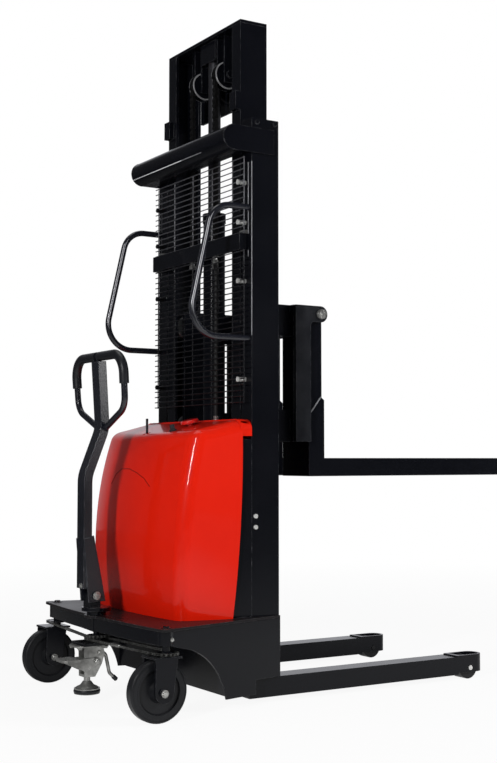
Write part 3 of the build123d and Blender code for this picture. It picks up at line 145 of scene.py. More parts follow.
class Graph:
    """Adds nodes to one node tree and links them as it goes."""

    def __init__(self, tree: Tree) -> None:
        """Starts on a tree.

        Args:
            tree: The shader or geometry tree that takes the nodes.
        """
        self.tree = tree

    @classmethod
    def blank(cls, owner: bpy.types.ID) -> "Graph":
        """Starts on the emptied tree of a material or world.

        Args:
            owner: The material or world.

        Returns:
            The graph of its tree.
        """
        owner.use_nodes = True
        owner.node_tree.nodes.clear()
        return cls(owner.node_tree)

    def node(
        self, kind: str, inputs: dict[Any, Any] | None = None, **settings: Any
    ) -> bpy.types.Node:
        """Adds one node.

        Args:
            kind: The node's type name.
            inputs: Values or source sockets, by the input's name or index.
            **settings: Properties of the node itself.

        Returns:
            The new node.
        """
        made = self.tree.nodes.new(kind)
        for name, value in settings.items():
            setattr(made, name, value)
        for key, value in (inputs or {}).items():
            if isinstance(value, Socket):
                self.tree.links.new(value, made.inputs[key])
            else:
                made.inputs[key].default_value = value
        return made

    def out(self, kind: str, inputs: dict[Any, Any] | None = None, **settings: Any) -> Socket:
        """Adds one node, as node() does, and returns its first output."""
        return self.node(kind, inputs, **settings).outputs[0]

    def math(self, operation: str, first: Any, second: Any) -> Socket:
        """Adds a Math node and returns its result."""
        return self.out("ShaderNodeMath", {0: first, 1: second}, operation=operation)

    def mix(self, factor: Any, first: Any, second: Any) -> Socket:
        """Adds a mix of two colours, plain or from sockets, and returns its colour.

        Args:
            factor: Share of the second colour.
            first: Colour at 0.
            second: Colour at 1.

        Returns:
            The mixed colour.
        """
        ends = (end if isinstance(end, Socket) else (*end, 1.0) for end in (first, second))
        values = {0: factor, **dict(zip((6, 7), ends))}
        return self.node("ShaderNodeMix", values, data_type="RGBA").outputs[2]

    def blend(self, factor: Any, first: Any, second: Any) -> Socket:
        """Adds a mix of two numbers and returns its number."""
        return self.out("ShaderNodeMix", {0: factor, 2: first, 3: second}, data_type="FLOAT")

    def span(
        self, value: Any, low: float, high: float, start: float = 0.0, end: float = 1.0
    ) -> Socket:
        """Maps a value from low..high to start..end, held inside that range."""
        return self.out("ShaderNodeMapRange", {0: value, 1: low, 2: high, 3: start, 4: end})

    def dot(self, first: Any, second: Any) -> Socket:
        """Adds a dot product of two vectors and returns its number.

        Args:
            first: One vector.
            second: The other one.

        Returns:
            The product.
        """
        values = {0: first, 1: second}
        made = self.node("ShaderNodeVectorMath", values, operation="DOT_PRODUCT")
        return made.outputs["Value"]

    def coords(self) -> Socket:
        """Places on the object, in its own coordinates."""
        return self.node("ShaderNodeTexCoord").outputs["Object"]

    def normal(self, kind: str = "Normal") -> Socket:
        """The surface's normal."""
        return self.node("ShaderNodeNewGeometry").outputs[kind]

    def axis(self, vector: Socket, name: str) -> Socket:
        """One axis of a vector."""
        return self.node("ShaderNodeSeparateXYZ", {0: vector}).outputs[name]

    def noise(self, **inputs: Any) -> Socket:
        """Noise over the places on the object, or over the Vector that is given.

        Args:
            **inputs: The node's inputs by name.

        Returns:
            The noise, from 0 to 1.
        """
        if "Vector" not in inputs:
            inputs["Vector"] = self.coords()
        return self.out("ShaderNodeTexNoise", inputs)


class ShaderGroups:
    """The surface effects that several finishes share, each built once."""

    def __init__(self) -> None:
        """Builds every group."""
        self.cloud = self._cloud()
        self.dust = self._dust()
        self.wear_and_highlight = self._wear_and_highlight()
        self.grain = self._grain()

    @staticmethod
    def _start(name: str, inputs: dict[str, float]) -> tuple[Graph, Any]:
        """Opens a shader group with number inputs and one number output.

        Args:
            name: The group's name.
            inputs: Default values by input name.

        Returns:
            The graph and the group's inputs.
        """
        tree = bpy.data.node_groups.new(name, "ShaderNodeTree")
        sockets, kind = tree.interface, "NodeSocketFloat"
        for label, value in inputs.items():
            made = sockets.new_socket(label, in_out="INPUT", socket_type=kind)
            made.default_value = value
        sockets.new_socket("Value", in_out="OUTPUT", socket_type=kind)
        graph = Graph(tree)
        return graph, graph.node("NodeGroupInput").outputs

    @staticmethod
    def _close(graph: Graph, value: Socket) -> Tree:
        """Puts a value out of the group and returns its tree."""
        graph.node("NodeGroupOutput", {"Value": value})
        return graph.tree

    def _cloud(self) -> Tree:
        """Slow blotches, from 0 to 1, for uneven colour and gloss.

        Returns:
            The group's tree.
        """
        graph, given = self._start("uneven_tone", {"Scale": 6.0})
        noise = graph.noise(Scale=given["Scale"], Detail=5.0, Roughness=0.6)
        return self._close(graph, graph.span(noise, low=0.3, high=0.7))

    def _dust(self) -> Tree:
        """Dust that lies on faces which look up, thicker in places.

        Returns:
            The group's tree.
        """
        graph, given = self._start("settled_dust", {"Amount": 0.3, "Scale": 30.0})
        lying = graph.span(graph.axis(graph.normal("True Normal"), "Z"), low=0.2, high=0.95)
        noise = graph.noise(Scale=given["Scale"], Detail=8.0, Roughness=0.7)
        patches = graph.span(noise, low=0.35, high=0.75, start=0.25)
        dusty = graph.math("MULTIPLY", lying, patches)
        return self._close(graph, graph.math("MULTIPLY", dusty, given["Amount"]))

    def _wear_and_highlight(self) -> Tree:
        """Edge wear and painted edge highlights: where the rounded normal leaves the flat one,
        broken up by noise.

        Returns:
            The group's tree.
        """
        graph, given = self._start("edge_wear", {"Amount": 0.4, "Radius": 0.002})
        rounded = graph.out("ShaderNodeBevel", {"Radius": given["Radius"]}, samples=4)
        edge = graph.span(graph.dot(graph.normal(), rounded), low=0.98, high=0.80)
        noise = graph.noise(Scale=45.0, Detail=6.0)
        patches = graph.span(noise, low=0.45, high=0.7, start=0.1)
        broken = graph.math("MULTIPLY", edge, patches)
        return self._close(graph, graph.math("MULTIPLY", broken, given["Amount"]))

    def _grain(self) -> Tree:
        """Fine relief, which can be drawn out along Z for brushed metal.

        Returns:
            The group's tree.
        """
        graph, given = self._start("fine_grain", {"Scale": 400.0, "Stretch": 1.0})
        ratio = graph.out("ShaderNodeCombineXYZ", {0: 1.0, 1: 1.0, 2: given["Stretch"]})
        values = {0: graph.coords(), 1: ratio}
        drawn = graph.out("ShaderNodeVectorMath", values, operation="MULTIPLY")
        return self._close(graph, graph.noise(Vector=drawn, Scale=given["Scale"], Detail=3.0))


@dataclass(frozen=True)
class Finish:
    """One surface finish and the numbers that set its look."""

    name: str
    base: Rgb
    second: Rgb
    roughness: float
    roughness_spread: float = 0.08
    metallic: float = 0.0
    specular: float = 0.5
    coat: float = 0.0
    coat_roughness: float = 0.05
    cloud_scale: float = 5.0
    grain_scale: float = 350.0
    grain_stretch: float = 1.0
    grain_height: float = 0.00004
    dust: float = 0.0
    dust_colour: Rgb = (0.16, 0.15, 0.14)
    dust_roughness: float = 0.4
    wear_and_highlight: float = 0.0
    wear_and_highlight_colour: Rgb = (0.10, 0.10, 0.105)
    # Painted highlights: pale colour where the normal faces each of these directions.
    rubs: tuple[Point, ...] = ()
    highlight_colour: Rgb = (0.40, 0.40, 0.42)
    highlight_span: Pair = (0.989, 0.997)
    round_edges: float = 0.0
    fade: Pair | None = None
    fade_axis: str = "Z"
    fade_colour: Rgb = (0.16, 0.16, 0.17)
    shared_slot: str = ""

    @property
    def slot(self) -> str:
        """Name of the record's slot that the finish belongs to."""
        return self.shared_slot or self.name

    def material(self, groups: ShaderGroups) -> bpy.types.Material:
        """Builds the finish's material.

        Args:
            groups: The shared surface effects.

        Returns:
            The node material, ready to assign.
        """
        made = bpy.data.materials.new(self.name)
        graph = Graph.blank(made)
        cloud = self._group(graph, groups.cloud, Scale=self.cloud_scale)
        colour = graph.mix(cloud, self.base, self.second)
        # Colour shifts along one axis: paler upwards on the guard wires, a painted highlight;
        # darker towards the left on the bright zinc.
        if self.fade:
            along = graph.axis(graph.coords(), self.fade_axis)
            colour = graph.mix(graph.span(along, *self.fade), colour, self.fade_colour)
        rough = graph.span(cloud, 0, 1, self.roughness, self.roughness + self.roughness_spread)
        # Lighter edges: partly real edge wear, partly painted edge highlights.
        if self.wear_and_highlight:
            mask = self._group(graph, groups.wear_and_highlight, Amount=self.wear_and_highlight, Radius=self.round_edges)
            colour = graph.mix(mask, colour, self.wear_and_highlight_colour)
        # Paints a highlight: the colour turns pale where the normal faces each given direction.
        for way in self.rubs:
            mask = graph.span(graph.dot(graph.normal(), way), *self.highlight_span)
            colour = graph.mix(mask, colour, self.highlight_colour)
        if self.dust:
            mask = self._group(graph, groups.dust, Amount=self.dust)
            colour = graph.mix(mask, colour, self.dust_colour)
            rough = graph.math("ADD", rough, graph.math("MULTIPLY", mask, self.dust_roughness))
        shader = graph.out("ShaderNodeBsdfPrincipled", {
            "Base Color": colour, "Roughness": rough, "Normal": self._relief(graph, groups),
            "Metallic": self.metallic, "Specular IOR Level": self.specular,
            "Coat Weight": self.coat, "Coat Roughness": self.coat_roughness,
        })
        graph.node("ShaderNodeOutputMaterial", {"Surface": shader})
        return made

    @staticmethod
    def _group(graph: Graph, tree: Tree, **values: float) -> Socket:
        """Places a shared effect with its own values and returns what it puts out."""
        return graph.out("ShaderNodeGroup", values, node_tree=tree)

    def _relief(self, graph: Graph, groups: ShaderGroups) -> Socket:
        """Fine relief over softened edges.

        Args:
            graph: The material's graph.
            groups: The shared surface effects.

        Returns:
            The normal for the shader.
        """
        height = self._group(
            graph, groups.grain, Scale=self.grain_scale, Stretch=self.grain_stretch
        )
        bump = {"Height": height, "Strength": 1.0, "Distance": self.grain_height}
        if self.round_edges:
            bump["Normal"] = graph.out("ShaderNodeBevel", {"Radius": self.round_edges})
        return graph.out("ShaderNodeBump", bump)


class Slot(Enum):
    """The finishes: one for each of the record's material slots, and some that share a slot."""

    # The black paints lighten their edges: partly real edge wear, partly painted edge highlights.
    BLACK_PAINT = Finish(
        "black_paint", (0.0024, 0.0027, 0.0042), (0.0036, 0.0040, 0.0058), 0.13, specular=0.20,
        dust=0.006, wear_and_highlight=0.60, wear_and_highlight_colour=(0.17, 0.17, 0.18), round_edges=0.003,
        grain_scale=260.0, grain_height=0.00001,
    )
    TILLER_PAINT = Finish(
        "tiller_paint", (0.0050, 0.0056, 0.0092), (0.0070, 0.0078, 0.0120), 0.20, specular=0.75,
        dust=0.01, wear_and_highlight=0.70, wear_and_highlight_colour=(0.24, 0.24, 0.26), round_edges=0.003,
        grain_scale=260.0, grain_height=0.00002, shared_slot="black_paint",
    )
    # Pale lines on the handle tubes where the normal faces two given directions: painted
    # highlights.
    HANDLE_PAINT = Finish(
        "handle_paint", (0.0050, 0.0056, 0.0092), (0.0070, 0.0078, 0.0120), 0.16, specular=0.75,
        dust=0.01, rubs=((-0.672, -0.725, 0.154), (-0.290, -0.954, 0.068)),
        grain_scale=260.0, grain_height=0.00001, shared_slot="black_paint",
    )
    # Lighter than the black paint: painted light on the carriage sides; its slow blotches stand
    # for scuffs and dust.
    CARRIAGE_PAINT = Finish(
        "carriage_paint", (0.0070, 0.0076, 0.0092), (0.0140, 0.0146, 0.0170), 0.16, 0.10,
        specular=0.25, dust=0.006, wear_and_highlight=0.60, wear_and_highlight_colour=(0.17, 0.17, 0.18),
        round_edges=0.003, cloud_scale=16.0, grain_scale=260.0, grain_height=0.00001,
        shared_slot="black_paint",
    )
    DECK_PAINT = Finish(
        "deck_paint", (0.0110, 0.0100, 0.0110), (0.0160, 0.0145, 0.0155), 0.26, 0.10,
        specular=0.07, dust=0.03, wear_and_highlight=0.60, wear_and_highlight_colour=(0.20, 0.20, 0.21),
        round_edges=0.003, grain_scale=260.0, grain_height=0.00002, shared_slot="black_paint",
    )
    # Paler from 1.36 m to 1.50 m up: a painted highlight on the upper wires.
    GUARD_WIRE = Finish(
        "guard_wire", (0.016, 0.016, 0.018), (0.010, 0.010, 0.012), 0.25, 0.10, metallic=0.5,
        grain_scale=400.0, grain_height=0.00001, fade=(1.36, 1.50),
        fade_colour=(0.12, 0.12, 0.13), shared_slot="black_paint",
    )
    # Pale lines along the mast edges, the hood's fold and the fork welds: painted highlights.
    RUBBED_EDGE = Finish(
        "rubbed_edge", (0.34, 0.34, 0.36), (0.14, 0.14, 0.15), 0.30, 0.12, metallic=0.3,
        cloud_scale=9.0, grain_scale=400.0, grain_height=0.00001, shared_slot="black_paint",
    )
    # Near-white line along the hood's fold: a painted highlight.
    POLISHED_EDGE = Finish(
        "polished_edge", (0.90, 0.90, 0.92), (0.60, 0.60, 0.62), 0.16, metallic=0.1,
        cloud_scale=9.0, grain_scale=400.0, grain_height=0.00001, shared_slot="black_paint",
    )
    RED_COVER = Finish(
        "red_cover", (0.60, 0.0095, 0.0014), (0.64, 0.0115, 0.0020), 0.32, 0.06, specular=0.08,
        coat=0.50, coat_roughness=0.03, grain_scale=60.0, grain_height=0.00001, dust=0.03,
        dust_colour=(0.50, 0.10, 0.08),
    )
    # Dark red along the cover's crease: painted shade.
    RED_CREASE = Finish(
        "red_crease", (0.16, 0.004, 0.002), (0.20, 0.005, 0.002), 0.50, 0.10, specular=0.1,
        grain_scale=120.0, shared_slot="red_cover",
    )
    ZINC = Finish(
        "zinc", (0.50, 0.50, 0.48), (0.22, 0.22, 0.21), 0.24, 0.16, metallic=0.78,
        grain_scale=500.0, round_edges=0.0008, dust=0.1, cloud_scale=30.0,
    )
    BRIGHT_ZINC = Finish(
        "bright_zinc", (0.80, 0.80, 0.78), (0.52, 0.52, 0.50), 0.20, 0.12, metallic=0.45,
        grain_scale=500.0, round_edges=0.0008, cloud_scale=30.0, fade=(0.10, 0.14),
        fade_axis="Y", fade_colour=(0.008, 0.008, 0.009), shared_slot="zinc",
    )
    # Dark and dull, unlike bright chrome: a painted dark reflection on the chrome parts.
    CHROME = Finish(
        "chrome", (0.045, 0.045, 0.050), (0.030, 0.030, 0.034), 0.32, 0.10, metallic=0.6,
        specular=0.2, grain_scale=300.0, grain_stretch=0.05, grain_height=0.00001,
    )
    CHAIN_STEEL = Finish(
        "chain_steel", (0.020, 0.020, 0.021), (0.009, 0.0085, 0.0085), 0.38, 0.2, metallic=0.7,
        grain_scale=420.0, cloud_scale=40.0, dust=0.06,
    )
    STEERING_CHAIN = Finish(
        "steering_chain", (0.15, 0.15, 0.145), (0.04, 0.04, 0.038), 0.24, 0.2, metallic=0.7,
        grain_scale=420.0, cloud_scale=60.0, shared_slot="chain_steel",
    )
    ROLLER_STEEL = Finish(
        "roller_steel", (0.30, 0.30, 0.31), (0.14, 0.14, 0.145), 0.26, 0.15, metallic=0.9,
        grain_scale=500.0, grain_stretch=0.2,
    )
    # Paler than the roller steel: the rims' bare steel, lightened to paint their glints.
    PULLEY_RIM = Finish(
        "pulley_rim", (0.58, 0.58, 0.59), (0.26, 0.26, 0.27), 0.20, 0.12, metallic=0.5,
        grain_scale=500.0, cloud_scale=20.0, shared_slot="roller_steel",
    )
    GRIP_RUBBER = Finish(
        "grip_rubber", (0.0060, 0.0064, 0.0085), (0.0090, 0.0094, 0.0120), 0.36, 0.1,
        specular=0.45, grain_scale=900.0, dust=0.03,
    )
    HOSE_RUBBER = Finish(
        "hose_rubber", (0.009, 0.009, 0.010), (0.014, 0.014, 0.014), 0.50, 0.1, specular=0.3,
        grain_scale=700.0, grain_height=0.00006,
    )
    WHEEL = Finish(
        "wheel", (0.0065, 0.0070, 0.0085), (0.0105, 0.0110, 0.0125), 0.34, 0.14, specular=0.3,
        grain_scale=500.0, grain_height=0.00005, dust=0.06, cloud_scale=14.0,
    )
    LOAD_WHEEL = Finish(
        "load_wheel", (0.0075, 0.0075, 0.0085), (0.012, 0.012, 0.013), 0.34, 0.12,
        specular=0.3, grain_scale=400.0, grain_height=0.00005, dust=0.08,
    )
    NYLON = Finish("nylon", (0.50, 0.49, 0.45), (0.42, 0.41, 0.37), 0.45, 0.1, grain_scale=300.0)
    BATTERY = Finish("battery", (0.02, 0.02, 0.021), (0.03,) * 3, 0.5, 0.1, grain_scale=700.0)
    STOP_RED = Finish(
        "stop_red", (0.60, 0.010, 0.008), (0.66, 0.014, 0.010), 0.25, 0.05, coat=0.4,
        grain_scale=200.0, grain_height=0.00001,
    )


class Paintbox:
    """Holds one material for each finish."""

    OWN = {
        "tiller_post": "tiller_paint", "tiller_loop": "tiller_paint",
        "grab_handles": "handle_paint", "deck_plate": "deck_paint",
        "zinc_fasteners": "bright_zinc",
        "carriage_side_left": "carriage_paint", "carriage_side_right": "carriage_paint",
    }

    def __init__(self) -> None:
        """Builds the shared effects and every finish."""
        groups = ShaderGroups()
        self.materials = {slot.value.name: slot.value.material(groups) for slot in Slot}

    def dress(self, target: Object, finish: str) -> None:
        """Gives an object one finish on all its faces.

        Args:
            target: The object.
            finish: The finish's name.
        """
        target.data.materials.clear()
        target.data.materials.append(self.materials[finish])

    def dress_cad(self) -> None:
        """Gives every CAD node its own finish, or the one that the record names for it."""
        for row in frame["record"]["subparts"]:
            finish = self.OWN.get(row["node"], row["material_slot"])
            self.dress(frame["nodes"][row["node"]], finish)
            LOG.info("CAD node %s in %s", row["node"], finish)


class Sculptor:
    """Gathers solid shapes into one mesh, in millimetres from the rear axle."""

    def __init__(self, shift: float = AXLE_BACK) -> None:
        """Opens an empty mesh.

        Args:
            shift: How far the origin of the mesh stands in front of that of the shapes.
        """
        self.shift = shift
        self.shape = bmesh.new()

    def _skin(self, rings: Sequence[Iterable[Vector]], hollow: bool = False) -> None:
        """Closes a solid round rings of points.

        Args:
            rings: The rings in their order, each with as many points.
            hollow: Whether the last ring joins the first, in place of two flat ends.
        """
        loops = [[self.shape.verts.new(point) for point in ring] for ring in rings]
        pairs = list(zip(loops, loops[1:]))
        if hollow:
            pairs.append((loops[-1], loops[0]))
        for low, high in pairs:
            for step in range(len(low)):
                after = (step + 1) % len(low)
                self.shape.faces.new((low[step], low[after], high[after], high[step]))
        if not hollow:
            self.shape.faces.new(reversed(loops[0]))
            self.shape.faces.new(loops[-1])

    def lathe(
        self, centre: Point, axis: Point, profile: Sequence[Pair], sides: int,
        hollow: bool = False,
    ) -> None:
        """Turns a profile about an axis.

        Args:
            centre: Where the profile's offset is nought.
            axis: Direction of the axis.
            profile: Pairs of offset along the axis and radius.
            sides: Number of faces round the axis.
            hollow: Whether the profile closes on itself round a bore.
        """
        turn = Vector(axis).to_track_quat("Z", "Y").to_matrix()
        self._skin([
            [
                Vector(centre) + turn @ Vector((radius * cos, radius * sin, offset))
                for cos, sin in circle(sides)
            ]
            for offset, radius in profile
        ], hollow)

    def rod(
        self, start: Point, end: Point, radius: float, sides: int, rim: float = 0.0
    ) -> None:
        """A round bar.

        Args:
            start: Middle of its first end.
            end: Middle of its last end.
            radius: Its radius.
            sides: Number of faces round it.
            rim: Width of the chamfer at both ends, or nought for none.
        """
        run = Vector(end) - Vector(start)
        long = run.length
        profile = [(0.0, radius), (long, radius)]
        if rim:
            narrow = radius - rim
            profile = [(0.0, narrow), (rim, radius), (long - rim, radius), (long, narrow)]
        self.lathe(start, tuple(run), profile, sides)

    def sweep(self, route: Route, radius: float, sides: int = 8) -> None:
        """A round tube along a route of points.

        Args:
            route: The points of the middle line.
            radius: Radius of the tube.
            sides: Number of faces round the tube.
        """
        line = [Vector(point) for point in route]
        along = [(b - a).normalized() for a, b in zip(line, line[1:])]
        bends = ((a + b).normalized() for a, b in zip(along, along[1:]))
        side = along[0].orthogonal().normalized()
        rings = []
        for point, way in zip(line, (along[0], *bends, along[-1])):
            side = (side - way * side.dot(way)).normalized()
            other = way.cross(side)
            rings.append([
                point + (side * cos + other * sin) * radius for cos, sin in circle(sides)
            ])
        self._skin(rings)

    def prism(self, outline: Sequence[Pair], ends: Pair) -> None:
        """Pulls a flat outline upwards.

        Args:
            outline: Points in the XY plane, in their order.
            ends: Heights of the two flat ends.
        """
        self._skin([[Vector((x, y, end)) for x, y in outline] for end in ends])

    def box(self, low: Point, high: Point) -> None:
        """A box between two corners."""
        (x0, y0, z0), (x1, y1, z1) = low, high
        self.prism(((x0, y0), (x1, y0), (x1, y1), (x0, y1)), (z0, z1))

    def mesh(self, name: str, smooth: float = SMOOTH_PLATE) -> Mesh:
        """Closes the mesh, in metres and with outward normals.

        Args:
            name: The mesh's name.
            smooth: Edges up to this angle, in degrees, are shaded smooth.

        Returns:
            The finished mesh.
        """
        bmesh.ops.recalc_face_normals(self.shape, faces=self.shape.faces)
        for vert in self.shape.verts:
            vert.co = Vector((vert.co.x - self.shift, vert.co.y, vert.co.z)) * MILLIMETRE
        made = bpy.data.meshes.new(name)
        self.shape.to_mesh(made)
        self.shape.free()
        made.shade_smooth()
        made.set_sharp_from_angle(angle=math.radians(smooth))
        return made


class GeometryTrees:
    """The geometry node trees that lay out what repeats or follows a path."""

    WIRE_SIDES = 8
    # Scale of the smallest and the largest lump of a weld bead.
    LUMPS: tuple[Point, Point] = ((0.8, 0.8, 0.7), (1.15, 1.2, 1.1))

    def __init__(self) -> None:
        """Builds every tree."""
        self.wires = self._wires()
        self.chain = self._chain()
        self.fixings = self._fixings()
        self.bead = self._bead()

    @staticmethod
    def _start(name: str, **inputs: str) -> tuple[Graph, Any]:
        """Opens a tree with named inputs, the material last.

        Args:
            name: The tree's name.
            **inputs: Socket kind by input name.

        Returns:
            The graph and the tree's inputs.
        """
        tree = bpy.data.node_groups.new(name, "GeometryNodeTree")
        sockets = {"Geometry": "Geometry", **inputs, "Material": "Material"}
        for label, kind in sockets.items():
            tree.interface.new_socket(label, in_out="INPUT", socket_type=f"NodeSocket{kind}")
        tree.interface.new_socket(
            "Geometry", in_out="OUTPUT", socket_type="NodeSocketGeometry"
        )
        graph = Graph(tree)
        return graph, graph.node("NodeGroupInput").outputs

    @staticmethod
    def _finish(graph: Graph, instances: Socket, given: Any) -> Tree:
        """Makes the instances real, gives them the material and closes the tree.

        Args:
            graph: The tree's graph.
            instances: What the tree has laid out.
            given: The tree's inputs.

        Returns:
            The finished tree.
        """
        real = graph.out("GeometryNodeRealizeInstances", {0: instances})
        values = {"Geometry": real, "Material": given["Material"]}
        painted = graph.out("GeometryNodeSetMaterial", values)
        graph.node("NodeGroupOutput", {"Geometry": painted})
        return graph.tree

    @staticmethod
    def _place(graph: Graph, points: Socket, item: Socket, **inputs: Socket) -> Socket:
        """Sets an item on points.

        Args:
            graph: The tree's graph.
            points: The points.
            item: Geometry of the item.
            **inputs: Further inputs of the node by name.

        Returns:
            The instances.
        """
        values = {0: points, "Instance": item, **inputs}
        return graph.out("GeometryNodeInstanceOnPoints", values)

    @staticmethod
    def _item(graph: Graph, source: Socket) -> Socket:
        """Geometry of an object that is given to the tree."""
        return graph.node("GeometryNodeObjectInfo", {0: source}).outputs["Geometry"]

    def _wires(self) -> Tree:
        """A row of equal straight wires.

        Returns:
            The finished tree.
        """
        graph, given = self._start(
            "wire_row", Start="Vector", Run="Vector", Step="Vector", Count="Int", Radius="Float"
        )
        row = graph.out("GeometryNodeMeshLine", {
            "Count": given["Count"], "Start Location": given["Start"], "Offset": given["Step"],
        })
        line = graph.out("GeometryNodeCurvePrimitiveLine", {"End": given["Run"]})
        values = {"Resolution": self.WIRE_SIDES, "Radius": given["Radius"]}
        section = graph.out("GeometryNodeCurvePrimitiveCircle", values)
        wire = graph.out("GeometryNodeCurveToMesh", {0: line, 1: section, "Fill Caps": True})
        return self._finish(graph, self._place(graph, row, wire), given)

    def _chain(self) -> Tree:
        """Two kinds of link in turn along a curve, their pins all pointing one way.

        Returns:
            The finished tree.
        """
        graph, given = self._start(
            "link_chain", Count="Int", Pins="Vector", Even="Object", Odd="Object"
        )
        values = {0: given["Geometry"], "Count": given["Count"]}
        points = graph.out("GeometryNodeResampleCurve", values, mode="COUNT")
        turn = graph.out(
            "FunctionNodeAxesToRotation",
            {0: graph.out("GeometryNodeInputTangent"), 1: given["Pins"]},
            primary_axis="X", secondary_axis="Z",
        )
        odd = graph.math("MODULO", graph.out("GeometryNodeInputIndex"), 2.0)
        even = graph.math("SUBTRACT", 1.0, odd)
        join = graph.node("GeometryNodeJoinGeometry")
        for label, chosen in (("Even", even), ("Odd", odd)):
            item = self._item(graph, given[label])
            laid = self._place(graph, points, item, Selection=chosen, Rotation=turn)
            graph.tree.links.new(laid, join.inputs[0])
        return self._finish(graph, join.outputs[0], given)

    def _fixings(self) -> Tree:
        """One item on every point, looking along the point's own direction.

        Returns:
            The finished tree.
        """
        graph, given = self._start("fixings", Item="Object")
        facing = graph.out(
            "GeometryNodeInputNamedAttribute", {"Name": "facing"}, data_type="FLOAT_VECTOR"
        )
        turn = graph.out("FunctionNodeAlignRotationToVector", {"Vector": facing}, axis="Z")
        item = self._item(graph, given["Item"])
        laid = self._place(graph, given["Geometry"], item, Rotation=turn)
        return self._finish(graph, laid, given)

    def _bead(self) -> Tree:
        """Overlapping lumps of weld along a curve, each a little different.

        Returns:
            The finished tree.
        """
        graph, given = self._start("weld_bead", Pitch="Float", Radius="Float", Seed="Int")
        values = {0: given["Geometry"], "Length": given["Pitch"]}
        points = graph.out("GeometryNodeResampleCurve", values, mode="LENGTH")
        lump = graph.out(
            "GeometryNodeMeshIcoSphere", {"Radius": given["Radius"], "Subdivisions": 2}
        )
        smooth = graph.out("GeometryNodeSetShadeSmooth", {0: lump})
        values = {0: self.LUMPS[0], 1: self.LUMPS[1], "Seed": given["Seed"]}
        size = graph.out("FunctionNodeRandomValue", values, data_type="FLOAT_VECTOR")
        return self._finish(graph, self._place(graph, points, smooth, Scale=size), given)


@dataclass(frozen=True)
class Head:
    """A hexagon bolt head, in millimetres: radius over the corners, height, washer's radius."""

    radius: float
    height: float
    washer: float = 0.0
    washer_thick: float = 1.6
    washer_bevel: Pair = (0.4, 0.5)
    sunk: float = 0.5
    bevel: float = 1.0
    crown: float = 0.82

    def mesh(self) -> Mesh:
        """Builds the head on its washer, looking along +Z from its seat.

        Returns:
            The mesh at the origin.
        """
        shape = Sculptor(shift=0.0)
        seat = 0.0
        if self.washer:
            seat, wide = self.washer_thick, self.washer
            deep, inset = self.washer_bevel
            washer = [(-self.sunk, wide), (seat - deep, wide), (seat, wide - inset)]
            shape.lathe(ORIGIN, UP, washer, sides=20)
        top, wide = seat + self.height, self.radius
        head = [(seat - self.sunk, wide), (top - self.bevel, wide), (top, wide * self.crown)]
        shape.lathe(ORIGIN, UP, head, sides=6)
        return shape.mesh("hex_head", SMOOTH_HEAD)


